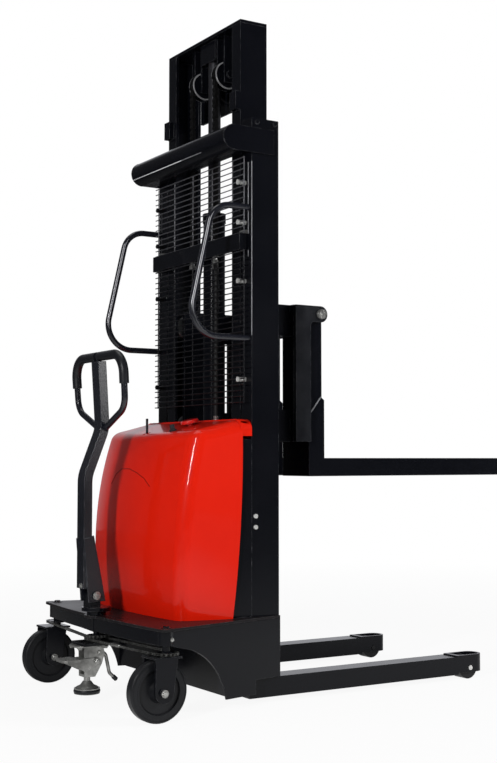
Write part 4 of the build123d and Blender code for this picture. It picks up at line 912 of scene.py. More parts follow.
class Workshop:
    """Turns meshes and node trees into pieces that ride on the bodies."""

    # A bead's lumps lie this share of their radius apart, and its sizes are drawn with this seed.
    BEAD_PITCH = 1.1
    BEAD_SEED = 7

    def __init__(self, paintbox: Paintbox) -> None:
        """Takes the finishes and builds the trees.

        Args:
            paintbox: The materials by finish.
        """
        self.paintbox = paintbox
        self.trees = GeometryTrees()

    def piece(
        self, name: str, mesh: Mesh, slot: Slot, body: str, replaces: Iterable[str] = ()
    ) -> None:
        """Adds a finished mesh to the scene.

        Args:
            name: The piece's name.
            mesh: Its mesh, in place.
            slot: The finish that it wears.
            body: The body that it rides on.
            replaces: CAD nodes that it stands for.
        """
        made = self._dressed(name, mesh, slot)
        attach(made, body)
        self._log(made, replaces)

    def stretch(
        self, name: str, mesh: Mesh, slot: Slot, heights: Pair,
        replaces: Iterable[str] = (),
    ) -> None:
        """Adds a mesh in place, on no body; it is not drawn out between two bodies.

        Args:
            name: The piece's name.
            mesh: Its mesh, in place.
            slot: The finish that it wears.
            heights: Height of the first and the last end, in millimetres; the ends are worked out
                but not used.
            replaces: CAD nodes that it stands for.
        """
        made = self._dressed(name, mesh, slot)
        start, end = (tuple(at(AXLE_BACK, 0, height)) for height in heights)
        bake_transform(made)
        self._log(made, replaces)

    def bolts(
        self, name: str, head: Head, spots: Sequence[Spot], body: str, slot: Slot | None = None
    ) -> None:
        """Adds a piece of equal bolt heads.

        Args:
            name: The piece's name.
            head: The head that is set on every spot.
            spots: Pairs of place in millimetres and direction.
            body: The body that it rides on.
            slot: The finish that it wears, zinc if none is given.
        """
        worn = slot or Slot.ZINC
        self.piece(name, self.fix(name, head, spots, worn), worn, body)

    def grow(
        self, name: str, tree: Tree, source: bpy.types.ID, slot: Slot, **values: Any
    ) -> Mesh:
        """Runs a geometry tree and keeps what it makes.

        Args:
            name: Name of the mesh.
            tree: The tree to run.
            source: Mesh or curve that goes into it.
            slot: The finish for what comes out.
            **values: The tree's inputs by name.

        Returns:
            The mesh that the tree made.
        """
        holder = link(f"{name}_source", source)
        modifier = holder.modifiers.new(tree.name, "NODES")
        modifier.node_group = tree
        values["Material"] = self.paintbox.materials[slot.value.name]
        for item in tree.interface.items_tree:
            if item.in_out == "INPUT" and item.name in values:
                modifier[item.identifier] = values[item.name]
        graph = bpy.context.evaluated_depsgraph_get()
        made = bpy.data.meshes.new_from_object(holder.evaluated_get(graph))
        made.name = name
        bpy.data.objects.remove(holder)
        return made

    def fix(self, name: str, head: Head, spots: Sequence[Spot], slot: Slot) -> Mesh:
        """Sets one bolt head on many spots.

        Args:
            name: Name of the mesh.
            head: The head that is set.
            spots: Pairs of place in millimetres and direction.
            slot: The finish of the heads.

        Returns:
            The mesh of all the heads.
        """
        source = bpy.data.meshes.new(f"{name}_spots")
        source.from_pydata([at(*place) for place, _ in spots], [], [])
        facing = source.attributes.new("facing", "FLOAT_VECTOR", "POINT")
        for entry, (_, way) in zip(facing.data, spots):
            entry.vector = way
        master = link(f"{name}_item", head.mesh())
        made = self.grow(name, self.trees.fixings, source, slot, Item=master)
        bpy.data.objects.remove(master)
        return made

    def weld(self, name: str, routes: Sequence[Route], slot: Slot, radius: float) -> Mesh:
        """Lays weld beads.

        Args:
            name: Name of the mesh.
            routes: Points along each bead, in millimetres.
            slot: The finish of the beads.
            radius: Radius of a bead's lumps, in millimetres.

        Returns:
            The mesh of all the beads.
        """
        source = self.line(f"{name}_path", routes)
        size = radius * MILLIMETRE
        return self.grow(
            name, self.trees.bead, source, slot,
            Pitch=size * self.BEAD_PITCH, Radius=size, Seed=self.BEAD_SEED,
        )

    @staticmethod
    def line(name: str, routes: Sequence[Route], closed: bool = False) -> bpy.types.Curve:
        """A curve of straight stretches.

        Args:
            name: The curve's name.
            routes: Points of each line, in millimetres.
            closed: Whether each line is a loop.

        Returns:
            The curve, in metres.
        """
        curve = bpy.data.curves.new(name, "CURVE")
        curve.dimensions = "3D"
        for route in routes:
            spline = curve.splines.new("POLY")
            spline.points.add(len(route) - 1)
            for entry, point in zip(spline.points, route):
                entry.co = (*at(*point), 1.0)
            spline.use_cyclic_u = closed
        return curve

    @staticmethod
    def merge(name: str, meshes: Sequence[Mesh]) -> Mesh:
        """Puts several meshes of one finish into one.

        Args:
            name: Name of the mesh.
            meshes: The meshes.

        Returns:
            The whole mesh.
        """
        whole = bmesh.new()
        for mesh in meshes:
            whole.from_mesh(mesh)
        made = bpy.data.meshes.new(name)
        whole.to_mesh(made)
        whole.free()
        return made

    def chain(
        self, name: str, route: Route, pitch: float, pins: Point, links: Sequence[Mesh],
        closed: bool = False,
    ) -> Mesh:
        """Lays a chain along a route.

        Args:
            name: Name of the mesh.
            route: Points of the chain's middle line, in millimetres.
            pitch: Distance between pins, in millimetres.
            pins: Direction of the pins.
            links: The even and the odd link, lying along X with their pins along Z.
            closed: Whether the chain is a loop.

        Returns:
            The mesh of the chain.
        """
        stops = [Vector(point) for point in route]
        ends = [*stops[1:], stops[0]] if closed else stops[1:]
        long = sum((b - a).length for a, b in zip(stops, ends))
        pairs = max(1, round(long / pitch / 2))
        even, odd = (link(f"{name}_{mesh.name}", mesh) for mesh in links)
        path = self.line(f"{name}_path", [route], closed)
        made = self.grow(
            name, self.trees.chain, path, Slot.CHAIN_STEEL,
            Count=2 * pairs, Pins=pins, Even=even, Odd=odd,
        )
        for holder in (even, odd):
            bpy.data.objects.remove(holder)
        return made

    def _dressed(self, name: str, mesh: Mesh, slot: Slot) -> Object:
        """Puts a mesh into the scene in its finish.

        Args:
            name: The object's name.
            mesh: Its mesh.
            slot: The finish that it wears.

        Returns:
            The new object.
        """
        made = link(name, mesh)
        self.paintbox.dress(made, slot.value.name)
        slot.value.slot
        return made

    @staticmethod
    def _log(made: Object, replaces: Iterable[str]) -> None:
        """Notes the piece and hides the CAD nodes that it stands for.

        Args:
            made: The piece.
            replaces: CAD nodes that it stands for.
        """
        nodes = tuple(replaces)
        if nodes:
            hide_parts(*nodes)
        count = len(made.data.polygons)
        LOG.info("piece %s, %d faces, for %s", made.name, count, nodes or "no node")


@dataclass(frozen=True)
class Link:
    """One chain link: its plates lie round two pins along X, its pins stand along Z."""

    pitch: float
    reach: float
    waist: float
    end_steps: int = 4

    def mesh(
        self, name: str, plates: Iterable[Pair], rods: Iterable[tuple[float, float, int]]
    ) -> Mesh:
        """Builds the link.

        Args:
            name: The mesh's name.
            plates: Lower and upper face of each plate.
            rods: Half length, radius and number of faces of each pin or roller.

        Returns:
            The mesh at the origin.
        """
        shape = Sculptor(shift=0.0)
        for ends in plates:
            shape.prism(self._outline(), ends)
        pin = self.pitch / 2
        for half, radius, sides in rods:
            shape.rod((pin, 0, -half), (pin, 0, half), radius, sides)
        return shape.mesh(name, SMOOTH_TURNED)

    def _outline(self) -> list[Pair]:
        """Outline of a plate, narrower between the pins.

        Returns:
            Points in the plane of the plate.
        """
        outline = []
        for side in SIDES:
            for cos, sin in half_circle(-math.pi / 2, self.end_steps):
                along = self.pitch / 2 + self.reach * cos
                outline.append((side * along, side * self.reach * sin))
            outline.append((0.0, side * self.waist))
        return outline


@dataclass
class GuardMesh:
    """Welded wire guard behind the mast, in two panels."""

    lying_x: float = 348.0
    upright_x: float = 350.6
    radius: float = 1.9
    pitch: float = 18.25
    overhang: float = 3.0
    ends: Pair = (-301.7, 291.0)
    uprights: tuple[float, ...] = (-300.0, -230.0, -101.0, 28.0, 157.0, 275.0)
    panels: tuple[tuple[float, int], ...] = ((931.75, 26), (1464.75, 13))

    def build(self, shop: Workshop) -> None:
        """Lays the wires of both panels.

        Args:
            shop: Makes the pieces.
        """
        first, last = self.ends
        meshes = []
        for low, rows in self.panels:
            start = (self.lying_x, first, low)
            meshes.append(self._row(shop, start, (0, last - first, 0), rows + 1))
            tall = rows * self.pitch + 2 * self.overhang
            for y in self.uprights:
                foot = (self.upright_x, y, low - self.overhang)
                meshes.append(self._row(shop, foot, (0, 0, tall), 1))
        whole = shop.merge("guard_wires", meshes)
        shop.piece("guard_wires", whole, Slot.GUARD_WIRE, "chassis", ("guard_mesh",))

    def _row(self, shop: Workshop, start: Point, run: Point, count: int) -> Mesh:
        """One row of wires, stacked upwards.

        Args:
            shop: Runs the tree.
            start: First end of the lowest wire.
            run: From its first to its last end.
            count: Number of wires.

        Returns:
            The mesh of the row.
        """
        return shop.grow(
            "guard_row", shop.trees.wires, bpy.data.meshes.new("guard_row"), Slot.GUARD_WIRE,
            Start=tuple(at(*start)), Run=tuple(Vector(run) * MILLIMETRE),
            Step=(0.0, 0.0, self.pitch * MILLIMETRE), Count=count,
            Radius=self.radius * MILLIMETRE,
        )


@dataclass
class LiftChains:
    """Two leaf chains over the pulleys at the head of the inner mast."""

    pulley: Pair = (415.0, 2028.0)
    radius: float = 39.0
    lane: float = 76.0
    rear_low: float = 1475.0
    front_low: float = 871.0
    link: Link = Link(pitch=19.05, reach=7.2, waist=4.8)
    plate: float = 2.2
    half: float = 9.6
    wide: tuple[int, ...] = (-3, -1, 1, 3)
    narrow: tuple[int, ...] = (-2, 0, 2)
    pin: tuple[float, float, int] = (10.6, 3.0, 8)
    wrap_steps: int = 12

    def build(self, shop: Workshop) -> None:
        """Lays the fixed runs, the wraps and the runs to the carriage.

        Args:
            shop: Makes the pieces.
        """
        x, top = self.pulley
        steel = Slot.CHAIN_STEEL
        rear, front = x - self.radius, x + self.radius
        runs = self._both(shop, "run", [(rear, self.rear_low), (rear, top)])
        shop.stretch(
            "lift_chain_rear", runs, steel, (self.rear_low, top),
            ("lift_chain_rear_runs",),
        )
        arc = [
            (x - self.radius * cos, top + self.radius * sin)
            for cos, sin in half_circle(0.0, self.wrap_steps)
        ]
        wraps = self._both(shop, "wrap", arc)
        shop.piece("lift_chain_wrap", wraps, steel, "inner_mast", ("lift_chain_wraps",))
        falls = self._both(shop, "fall", [(front, top), (front, self.front_low)])
        shop.stretch(
            "lift_chain_front", falls, steel, (top, self.front_low),
            ("lift_chain_front_runs",),
        )

    def _both(self, shop: Workshop, name: str, flat: Sequence[Pair]) -> Mesh:
        """The same stretch of chain on both lanes, from points in the XZ plane.

        Args:
            shop: Lays the chain.
            name: Name of the stretch.
            flat: Its X and Z.

        Returns:
            The mesh of both lanes.
        """
        meshes = []
        for side in SIDES:
            route = [(x, side * self.lane, z) for x, z in flat]
            links = [self._link("wide", self.wide), self._link("narrow", self.narrow)]
            meshes.append(shop.chain(f"leaf_{name}", route, self.link.pitch, OUT, links))
        return shop.merge(f"leaf_{name}", meshes)

    def _link(self, name: str, lanes: Sequence[int]) -> Mesh:
        """The wide or the narrow link, with a plate on each of its lanes.

        Args:
            name: The mesh's name.
            lanes: Where its plates lie, counted from the middle.

        Returns:
            The mesh at the origin.
        """
        thick = self.plate / 2
        gap = (self.half - thick) / 3
        plates = [(lane * gap - thick, lane * gap + thick) for lane in lanes]
        return self.link.mesh(name, plates, [self.pin])


@dataclass
class SteeringChains:
    """Roller chain loops from the tiller's sprocket to the casters."""

    turret: Pair = (-8.0, 0.0)
    caster: Pair = (30.0, 394.0)
    radius: float = 32.5
    heights: Pair = (203.0, 195.0)
    link: Link = Link(pitch=12.7, reach=5.0, waist=3.6)
    plate: float = 0.5
    plates: tuple[tuple[str, float], ...] = (("outer", 3.2), ("inner", 2.1))
    pins: tuple[tuple[float, float, int], ...] = ((3.7, 1.9, 6), (1.7, 3.9, 10))
    # Each turnbuckle: shares of the run where a bar starts and ends, its radius and its faces.
    turnbuckle: tuple[tuple[float, float, float, int], ...] = (
        (0.34, 0.54, 3.4, 12), (0.38, 0.50, 5.4, 6),
    )
    turnbuckle_rim: float = 0.6
    wrap_steps: int = 12

    def build(self, shop: Workshop) -> None:
        """Lays both loops and the turnbuckles in their runs.

        Args:
            shop: Makes the pieces.
        """
        lanes = list(zip(SIDES, self.heights))
        loops = []
        for side, height in lanes:
            links = [self._link(name, offset) for name, offset in self.plates]
            route = self._loop(side, height)
            loops.append(shop.chain("roller_loop", route, self.link.pitch, UP, links, closed=True))
        shop.piece(
            "steering_roller_chains", shop.merge("roller_loops", loops), Slot.STEERING_CHAIN,
            "chassis", ("steering_chains",),
        )
        shape = Sculptor()
        for side, height in lanes:
            for first, last, radius, sides in self.turnbuckle:
                ends = (self._rear_run(side, height, share) for share in (first, last))
                shape.rod(*ends, radius, sides, self.turnbuckle_rim)
        shop.piece("steering_turnbuckles", shape.mesh("turnbuckles"), Slot.ZINC, "chassis")

    def _centres(self, side: int) -> tuple[Vector, Vector]:
        """Centres of the turret's and the caster's sprocket."""
        return Vector(self.turret), Vector((self.caster[0], side * self.caster[1]))

    def _rear_run(self, side: int, height: float, share: float) -> Point:
        """A point on the rearward run of a loop, by its share of the way to the caster.

        Args:
            side: Which loop.
            height: Its height.
            share: The share, from 0 to 1.

        Returns:
            The point, in millimetres.
        """
        start, end = self._centres(side)
        way = (end - start).normalized()
        off = Vector((-abs(way.y), side * way.x)) * self.radius
        point = start + (end - start) * share + off
        return (point.x, point.y, height)

    def _loop(self, side: int, height: float) -> list[Point]:
        """The middle line of one loop.

        Args:
            side: Which loop.
            height: Its height.

        Returns:
            Its points.
        """
        start, end = self._centres(side)
        turn = math.atan2(end.y - start.y, end.x - start.x)
        return [
            (centre.x + self.radius * cos, centre.y + self.radius * sin, height)
            for centre, first in ((end, turn - math.pi / 2), (start, turn + math.pi / 2))
            for cos, sin in half_circle(first, self.wrap_steps)
        ]

    def _link(self, name: str, offset: float) -> Mesh:
        """The outer or the inner link."""
        plates = [(side * offset - self.plate, side * offset + self.plate) for side in SIDES]
        return self.link.mesh(name, plates, self.pins)


@dataclass
class Fasteners:
    """Nuts, bolts and brackets on the chassis, the mast and the casters."""

    deck_top: float = 268.0
    kingpin: Pair = (30.0, 394.0)
    kingpin_nut: Head = Head(11.0, 4.0, 17.0)
    corner: Point = (36.0, 418.6, 236.0)
    corner_way: Point = (0.22, 1.0, 0.0)
    corner_bolt: Head = Head(5.0, 3.5, 6.5)
    anchor: Point = (376.0, 76.0, 1406.0)
    anchor_nut: Head = Head(12.0, 11.0)
    bracket: tuple[Point, Point] = ((361.0, 255.0, 1415.0), (372.0, 285.0, 1475.0))
    bracket_bolt: Head = Head(7.0, 4.0, 9.0)
    bracket_margin: float = 14.0
    eye: Point = (697.0, 232.0, 1233.0)
    eye_head: Head = Head(17.0, 4.0)
    axle_height: float = 90.0
    axle_reach: float = 51.0
    axle_bolt: Head = Head(8.0, 4.5, 11.5)

    def build(self, shop: Workshop) -> None:
        """Sets every kind of bolt.

        Args:
            shop: Makes the pieces.
        """
        kingpins = both((*self.kingpin, self.deck_top), UP)
        shop.bolts("kingpin_nuts", self.kingpin_nut, kingpins, "chassis", Slot.BLACK_PAINT)
        corners = both(self.corner, self.corner_way)
        whole = shop.merge("chassis_bolts", [
            shop.fix("skirt_bolts", self.corner_bolt, corners, Slot.ZINC),
            shop.fix("anchor_nuts", self.anchor_nut, both(self.anchor, DOWN), Slot.ZINC),
            *self._brackets(shop),
        ])
        shop.piece("chassis_bolts", whole, Slot.ZINC, "chassis")
        shop.bolts("fork_bar_heads", self.eye_head, both(self.eye, OUT), "carriage")
        for side, name in NAMED_SIDES:
            middle = side * self.kingpin[1]
            spots = [
                ((0.0, middle + way * self.axle_reach, self.axle_height), (0, way, 0))
                for way in SIDES
            ]
            yoke = f"caster_yoke_{name}"
            shop.bolts(f"caster_axle_bolts_{name}", self.axle_bolt, spots, yoke)

    def _brackets(self, shop: Workshop) -> list[Mesh]:
        """The brackets between the anchor bar and the mast, and their bolts.

        Args:
            shop: Sets the bolts.

        Returns:
            The meshes of plates and bolts.
        """
        shape = Sculptor()
        low, high = self.bracket
        for side in SIDES:
            near, far = sorted((side * low[1], side * high[1]))
            shape.box((low[0], near, low[2]), (high[0], far, high[2]))
        middle = (low[1] + high[1]) / 2
        spots = [
            ((low[0], side * middle, height), (-1, 0, 0))
            for side in SIDES
            for height in (low[2] + self.bracket_margin, high[2] - self.bracket_margin)
        ]
        bolts = shop.fix("bracket_bolts", self.bracket_bolt, spots, Slot.ZINC)
        return [shape.mesh("mast_brackets"), bolts]


@dataclass
class Casters:
    """Raised rings on the steered wheels and their treads."""

    middle: Point = (0.0, 394.0, 90.0)
    radius: float = 68.0
    face: float = 18.0
    ring: tuple[Pair, ...] = ((-4.0, -4.0), (0.4, -2.6), (0.9, 0.0), (0.6, 2.6), (-4.0, 4.0))
    tread: tuple[Pair, ...] = ((-2.5, 15.0), (0.7, 16.0), (0.7, 18.6), (-2.5, 21.4))
    ring_sides: int = 48
    tread_sides: int = 56

    def build(self, shop: Workshop) -> None:
        """Turns the rings of both wheels.

        Args:
            shop: Makes the pieces.
        """
        x, y, z = self.middle
        for side, name in NAMED_SIDES:
            shape = Sculptor()
            for way in SIDES:
                turned = ((self.ring, self.ring_sides), (self.tread, self.tread_sides))
                for steps, sides in turned:
                    profile = [(self.face + off, self.radius + out) for off, out in steps]
                    shape.lathe((x, side * y, z), (0, way, 0), profile, sides, hollow=True)
            rings = shape.mesh("caster_rings", SMOOTH_RING)
            shop.piece(f"caster_rings_{name}", rings, Slot.WHEEL, f"caster_wheel_{name}")


@dataclass
class FloorLock:
    """Rubber foot, bolts and ribs of the foot-operated floor lock."""

    rod: Pair = (-38.0, 0.0)
    pad: tuple[Pair, ...] = ((27.0, 36.0), (29.0, 40.0), (36.0, 42.0), (42.0, 40.0), (46.0, 34.0))
    cone: tuple[Pair, ...] = ((45.0, 35.0), (49.0, 33.0), (54.0, 22.0), (63.0, 15.0), (66.0, 13.0))
    plate: Point = (-76.0, 10.0, 30.0)
    plate_low: float = 173.0
    plate_bolt: Head = Head(7.5, 5.0, 10.0)
    pedal_pivot: Point = (-16.0, 29.5, 128.0)
    pedal_bolt: Head = Head(7.5, 3.5, 10.0)
    release_pivot: Point = (-6.0, 25.0, 153.0)
    release_bolt: Head = Head(6.5, 3.0)
    tread: Point = (-124.0, -84.0, 138.0)
    tread_half: float = 30.0
    ribs: int = 5
    rib_half: float = 1.6
    rib_sunk: float = 0.5
    tip: tuple[Point, Point] = ((50.0, 0.0, 72.8), (63.5, 0.0, 60.6))
    tip_radius: float = 7.2
    tip_rim: float = 2.0

    def build(self, shop: Workshop) -> None:
        """Adds the pad, the ribs, the bolts and the lever's sleeve.

        Args:
            shop: Makes the pieces.
        """
        foot = (*self.rod, 0.0)
        pad = Sculptor()
        pad.lathe(foot, UP, self.pad, sides=36)
        rubber = pad.mesh("pad", SMOOTH_TUBE)
        shop.piece("floor_lock_pad", rubber, Slot.GRIP_RUBBER, "floor_lock_foot")
        cone = Sculptor()
        cone.lathe(foot, UP, self.cone, sides=28)
        steel = cone.mesh("cone", SMOOTH_TURNED)
        shop.piece("floor_lock_cone", steel, Slot.ZINC, "floor_lock_foot")
        pivots = shop.fix("pedal_bolts", self.pedal_bolt, both(self.pedal_pivot, OUT), Slot.ZINC)
        whole = shop.merge("ribs", [self._ribs(), pivots])
        shop.piece("floor_lock_ribs", whole, Slot.ZINC, "floor_lock_pedal")
        rear, front, half = self.plate
        under = [spot for x in (rear, front) for spot in both((x, half, self.plate_low), DOWN)]
        shop.bolts("floor_lock_bolts", self.plate_bolt, under, "chassis")
        heads = both(self.release_pivot, OUT)
        shop.bolts("floor_lock_release_bolts", self.release_bolt, heads, "floor_lock_lever")
        sleeve = Sculptor()
        sleeve.rod(*self.tip, self.tip_radius, sides=16, rim=self.tip_rim)
        grip = sleeve.mesh("sleeve")
        shop.piece("floor_lock_sleeve", grip, Slot.GRIP_RUBBER, "floor_lock_lever")

    def _ribs(self) -> Mesh:
        """The ribs across the pedal's tread.

        Returns:
            The mesh of all the ribs.
        """
        shape = Sculptor()
        rear, front, height = self.tread
        for step in range(self.ribs):
            middle = rear + (front - rear) * step / (self.ribs - 1)
            low = (middle - self.rib_half, -self.tread_half, height - self.rib_sunk)
            high = (middle + self.rib_half, self.tread_half, height + self.rib_half)
            shape.box(low, high)
        return shape.mesh("ribs")


@dataclass
class Tiller:
    """Bolts of the steering arm."""

    pin: Point = (-23.0, 36.0, 330.0)
    pin_bolt: Head = Head(9.5, 5.0, 13.0)
    clamp: Point = (-64.0, -9.0, 361.0)
    clamp_bolt: Head = Head(6.5, 4.5, 8.5)

    def build(self, shop: Workshop) -> None:
        """Sets the bolts of the tilt pin and of the clamp."""
        shop.bolts("tiller_tilt_bolts", self.pin_bolt, both(self.pin, OUT), "tiller_turret")
        shop.bolts("tiller_clamp_bolt", self.clamp_bolt, [(self.clamp, (-1, 0, 0))], "tiller")


@dataclass
class PulleyHead:
    """Pale steel rims of the chain pulleys: partly bare steel, partly painted glints."""

    centre: Pair = (415.0, 2028.0)
    lane: float = 76.0
    half: float = 14.0
    radius: float = 45.0
    rim: tuple[Pair, ...] = ((-1.0, -4.0), (0.8, -3.0), (1.2, -0.5), (0.4, 1.2), (-1.4, 1.4))

    def build(self, shop: Workshop) -> None:
        """Turns a rim for each face of both pulleys.

        Args:
            shop: Makes the pieces.
        """
        shape = Sculptor()
        x, z = self.centre
        profile = [(self.half + off, self.radius + out) for off, out in self.rim]
        for side in SIDES:
            for way in SIDES:
                centre = (x, side * self.lane, z)
                shape.lathe(centre, (0, way, 0), profile, sides=48, hollow=True)
        rims = shape.mesh("pulley_rims", SMOOTH_RING)
        shop.piece("pulley_rims", rims, Slot.PULLEY_RIM, "chain_pulleys")


@dataclass
class HoseEnds:
    """Crimped ferrules at both ends of the lift hose."""

    foot: Pair = (362.0, -108.0)
    rise: Pair = (878.5, 893.0)
    top: float = 1392.0
    reach: Pair = (46.0, 70.0)
    cylinder: Pair = (417.0, 0.0)
    radius: float = 9.2
    crimps: tuple[float, ...] = (0.3, 0.52, 0.74)
    crimp_half: float = 2.0
    crimp_depth: float = 1.0
    lip: Pair = (1.0, 1.2)

    def build(self, shop: Workshop) -> None:
        """Turns both ferrules.

        Args:
            shop: Makes the pieces.
        """
        shape = Sculptor()
        start, up = Vector((*self.foot, 0.0)), Vector(UP)
        way = (Vector((*self.cylinder, 0.0)) - start).normalized()
        low, high = self.rise
        self._ferrule(shape, start + up * low, up, high - low)
        near, far = self.reach
        self._ferrule(shape, start + way * far + up * self.top, -way, far - near)
        shop.piece("hose_ferrules", shape.mesh("ferrules", SMOOTH_TURNED), Slot.ZINC, "chassis")

    def _ferrule(self, shape: Sculptor, foot: Vector, way: Vector, long: float) -> None:
        """One ferrule with crimp rings, from the fitting along the hose.

        Args:
            shape: Takes the ferrule.
            foot: Where it starts.
            way: Where it points.
            long: Its length.
        """
        wide = self.radius
        profile = [(0.0, wide)]
        for share in self.crimps:
            middle = long * share
            profile += [
                (middle - self.crimp_half, wide), (middle, wide - self.crimp_depth),
                (middle + self.crimp_half, wide),
            ]
        deep, inset = self.lip
        profile += [(long - deep, wide), (long, wide - inset)]
        shape.lathe(tuple(foot), tuple(way), profile, sides=20)


@dataclass
class WeldSeams:
    """Weld beads where plates and channels meet, and pale lines along edges that are painted
    highlights.
    """

    head: Point = (376.0, 468.0, 2157.0)
    head_half: float = 239.2
    head_bead: float = 2.2
    deck: Point = (292.0, 368.0, 268.5)
    deck_half: float = 312.0
    deck_bead: float = 2.4
    hood_nose: Pair = (304.0, 1757.0)
    hood_radius: float = 39.0
    hood_margin: float = 1.5
    hood_steps: int = 16
    hood_fold: Pair = (270.4, 1734.0)
    # Shares of the fold, from its left end, where the bright and then the dull painted highlight
    # stretch end.
    fold_shares: Point = (0.004, 0.56, 0.76)
    # Each painted highlight line down an edge of the outer mast: its X, its distance from the
    # middle, its foot and top.
    mast_edges: tuple[tuple[float, float, float, float], ...] = (
        (372.4, 310.6, 1140.0, 1690.0), (371.8, 291.0, 1390.0, 1690.0),
    )
    highlight_radius: float = 1.5
    fork: tuple[Pair, Pair] = ((668.0, 909.0), (708.0, 959.0))
    fork_half: float = 205.0
    fork_bead: float = 2.6

    def build(self, shop: Workshop) -> None:
        """Lays the beads and the painted highlight lines of each body.

        Args:
            shop: Makes the pieces.
        """
        black, highlight_finish = Slot.BLACK_PAINT, Slot.RUBBED_EDGE
        head = self._lengthways(self.head, self.head_half)
        self._lay(shop, "mast_head_seams", head, "inner_mast", self.head_bead, black)
        deck = [*self._lengthways(self.deck, self.deck_half), *self._hood()]
        self._lay(shop, "deck_seams", deck, "chassis", self.deck_bead, black)
        self._rubs(shop)
        # The fork welds are pale: painted highlights on the beads.
        for side, name in NAMED_SIDES:
            route = [(x, side * self.fork_half, z) for x, z in self.fork]
            seam, fork = f"fork_seam_{name}", f"fork_{name}"
            self._lay(shop, seam, [route], fork, self.fork_bead, highlight_finish)

    @staticmethod
    def _lengthways(ends: Point, half: float) -> list[list[Point]]:
        """Two routes along the machine.

        Args:
            ends: Rear end, front end and height.
            half: Distance of each from the middle.

        Returns:
            The left and the right route.
        """
        rear, front, height = ends
        return [[(x, side * half, height) for x in (rear, front)] for side in SIDES]

    @staticmethod
    def _hood_ends() -> Pair:
        """The right and the left end of the mast hood, in millimetres."""
        low, high = (corner[1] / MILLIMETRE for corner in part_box("mast_hood"))
        return low, high

    def _rubs(self, shop: Workshop) -> None:
        """The painted highlight lines along the hood's fold and down the rear edges of the outer
        mast.

        Args:
            shop: Makes the pieces.
        """
        x, z = self.hood_fold
        low, high = self._hood_ends()
        start, middle, end = (high - share * (high - low) for share in self.fold_shares)
        fold = Sculptor()
        fold.sweep([(x, middle, z), (x, start, z)], self.highlight_radius)
        line = fold.mesh("hood_fold", SMOOTH_TUBE)
        shop.piece("hood_fold", line, Slot.POLISHED_EDGE, "chassis")
        shape = Sculptor()
        shape.sweep([(x, end, z), (x, middle, z)], self.highlight_radius)
        for side in SIDES:
            for back, across, foot, top in self.mast_edges:
                route = [(back, side * across, height) for height in (foot, top)]
                shape.sweep(route, self.highlight_radius)
        lines = shape.mesh("rubs", SMOOTH_TUBE)
        shop.piece("rubbed_edges", lines, Slot.RUBBED_EDGE, "chassis")

    def _hood(self) -> list[list[Point]]:
        """The round edges at both ends of the mast hood.

        Returns:
            The route of each edge.
        """
        low, high = self._hood_ends()
        x, z = self.hood_nose
        return [
            [
                (x + self.hood_radius * cos, face, z + self.hood_radius * sin)
                for cos, sin in half_circle(math.pi / 2, self.hood_steps)
            ]
            for face in (low + self.hood_margin, high - self.hood_margin)
        ]

    @staticmethod
    def _lay(
        shop: Workshop, name: str, routes: Sequence[Route], body: str, radius: float, slot: Slot
    ) -> None:
        """Lays the beads of one body.

        Args:
            shop: Makes the piece.
            name: The piece's name.
            routes: Points along each bead.
            body: The body that it rides on.
            radius: Radius of the beads.
            slot: The finish that it wears.
        """
        shop.piece(name, shop.weld(name, routes, slot, radius), slot, body)


@dataclass
class RearCover:
    """Crease moulded into the back of the red cover, drawn as a thin dark red tube: painted shade
    in the crease.
    """

    crease: tuple[Pair, ...] = (
        (150.0, 672.0), (120.0, 705.0), (80.0, 722.0), (20.0, 722.0), (-40.0, 709.0),
        (-90.0, 692.0), (-130.0, 668.0),
    )
    radius: float = 1.3
    behind: float = -100.0

    def build(self, shop: Workshop) -> None:
        """Lays the crease on the cover's back.

        Args:
            shop: Makes the pieces.
        """
        cover = frame["nodes"]["rear_cover"]
        inverse = cover.matrix_world.inverted()
        way = inverse.to_3x3() @ Vector((1, 0, 0))
        route = []
        for y, z in self.crease:
            hit, place, _, _ = cover.ray_cast(inverse @ at(self.behind, y, z), way)
            if hit:
                world = cover.matrix_world @ place
                route.append((world.x / MILLIMETRE + AXLE_BACK, y, z))
        shape = Sculptor()
        shape.sweep(route, self.radius)
        crease = shape.mesh("crease", SMOOTH_TUBE)
        shop.piece("cover_crease", crease, Slot.RED_CREASE, "chassis")


@dataclass
class Lamp:
    """One soft lamp: its place, its target, its size, its power and if gloss mirrors it."""

    name: str
    place: Point
    target: Point
    size: Pair
    watts: float
    mirrored: bool = True

    def hang(self) -> None:
        """Hangs the lamp."""
        data = bpy.data.lights.new(self.name, "AREA")
        data.shape = "RECTANGLE"
        data.size, data.size_y = self.size
        data.energy = self.watts
        hung = link(self.name, data)
        hung.location = self.place
        hung.visible_glossy = self.mirrored
        hung.rotation_euler = aim(Vector(self.target) - Vector(self.place))


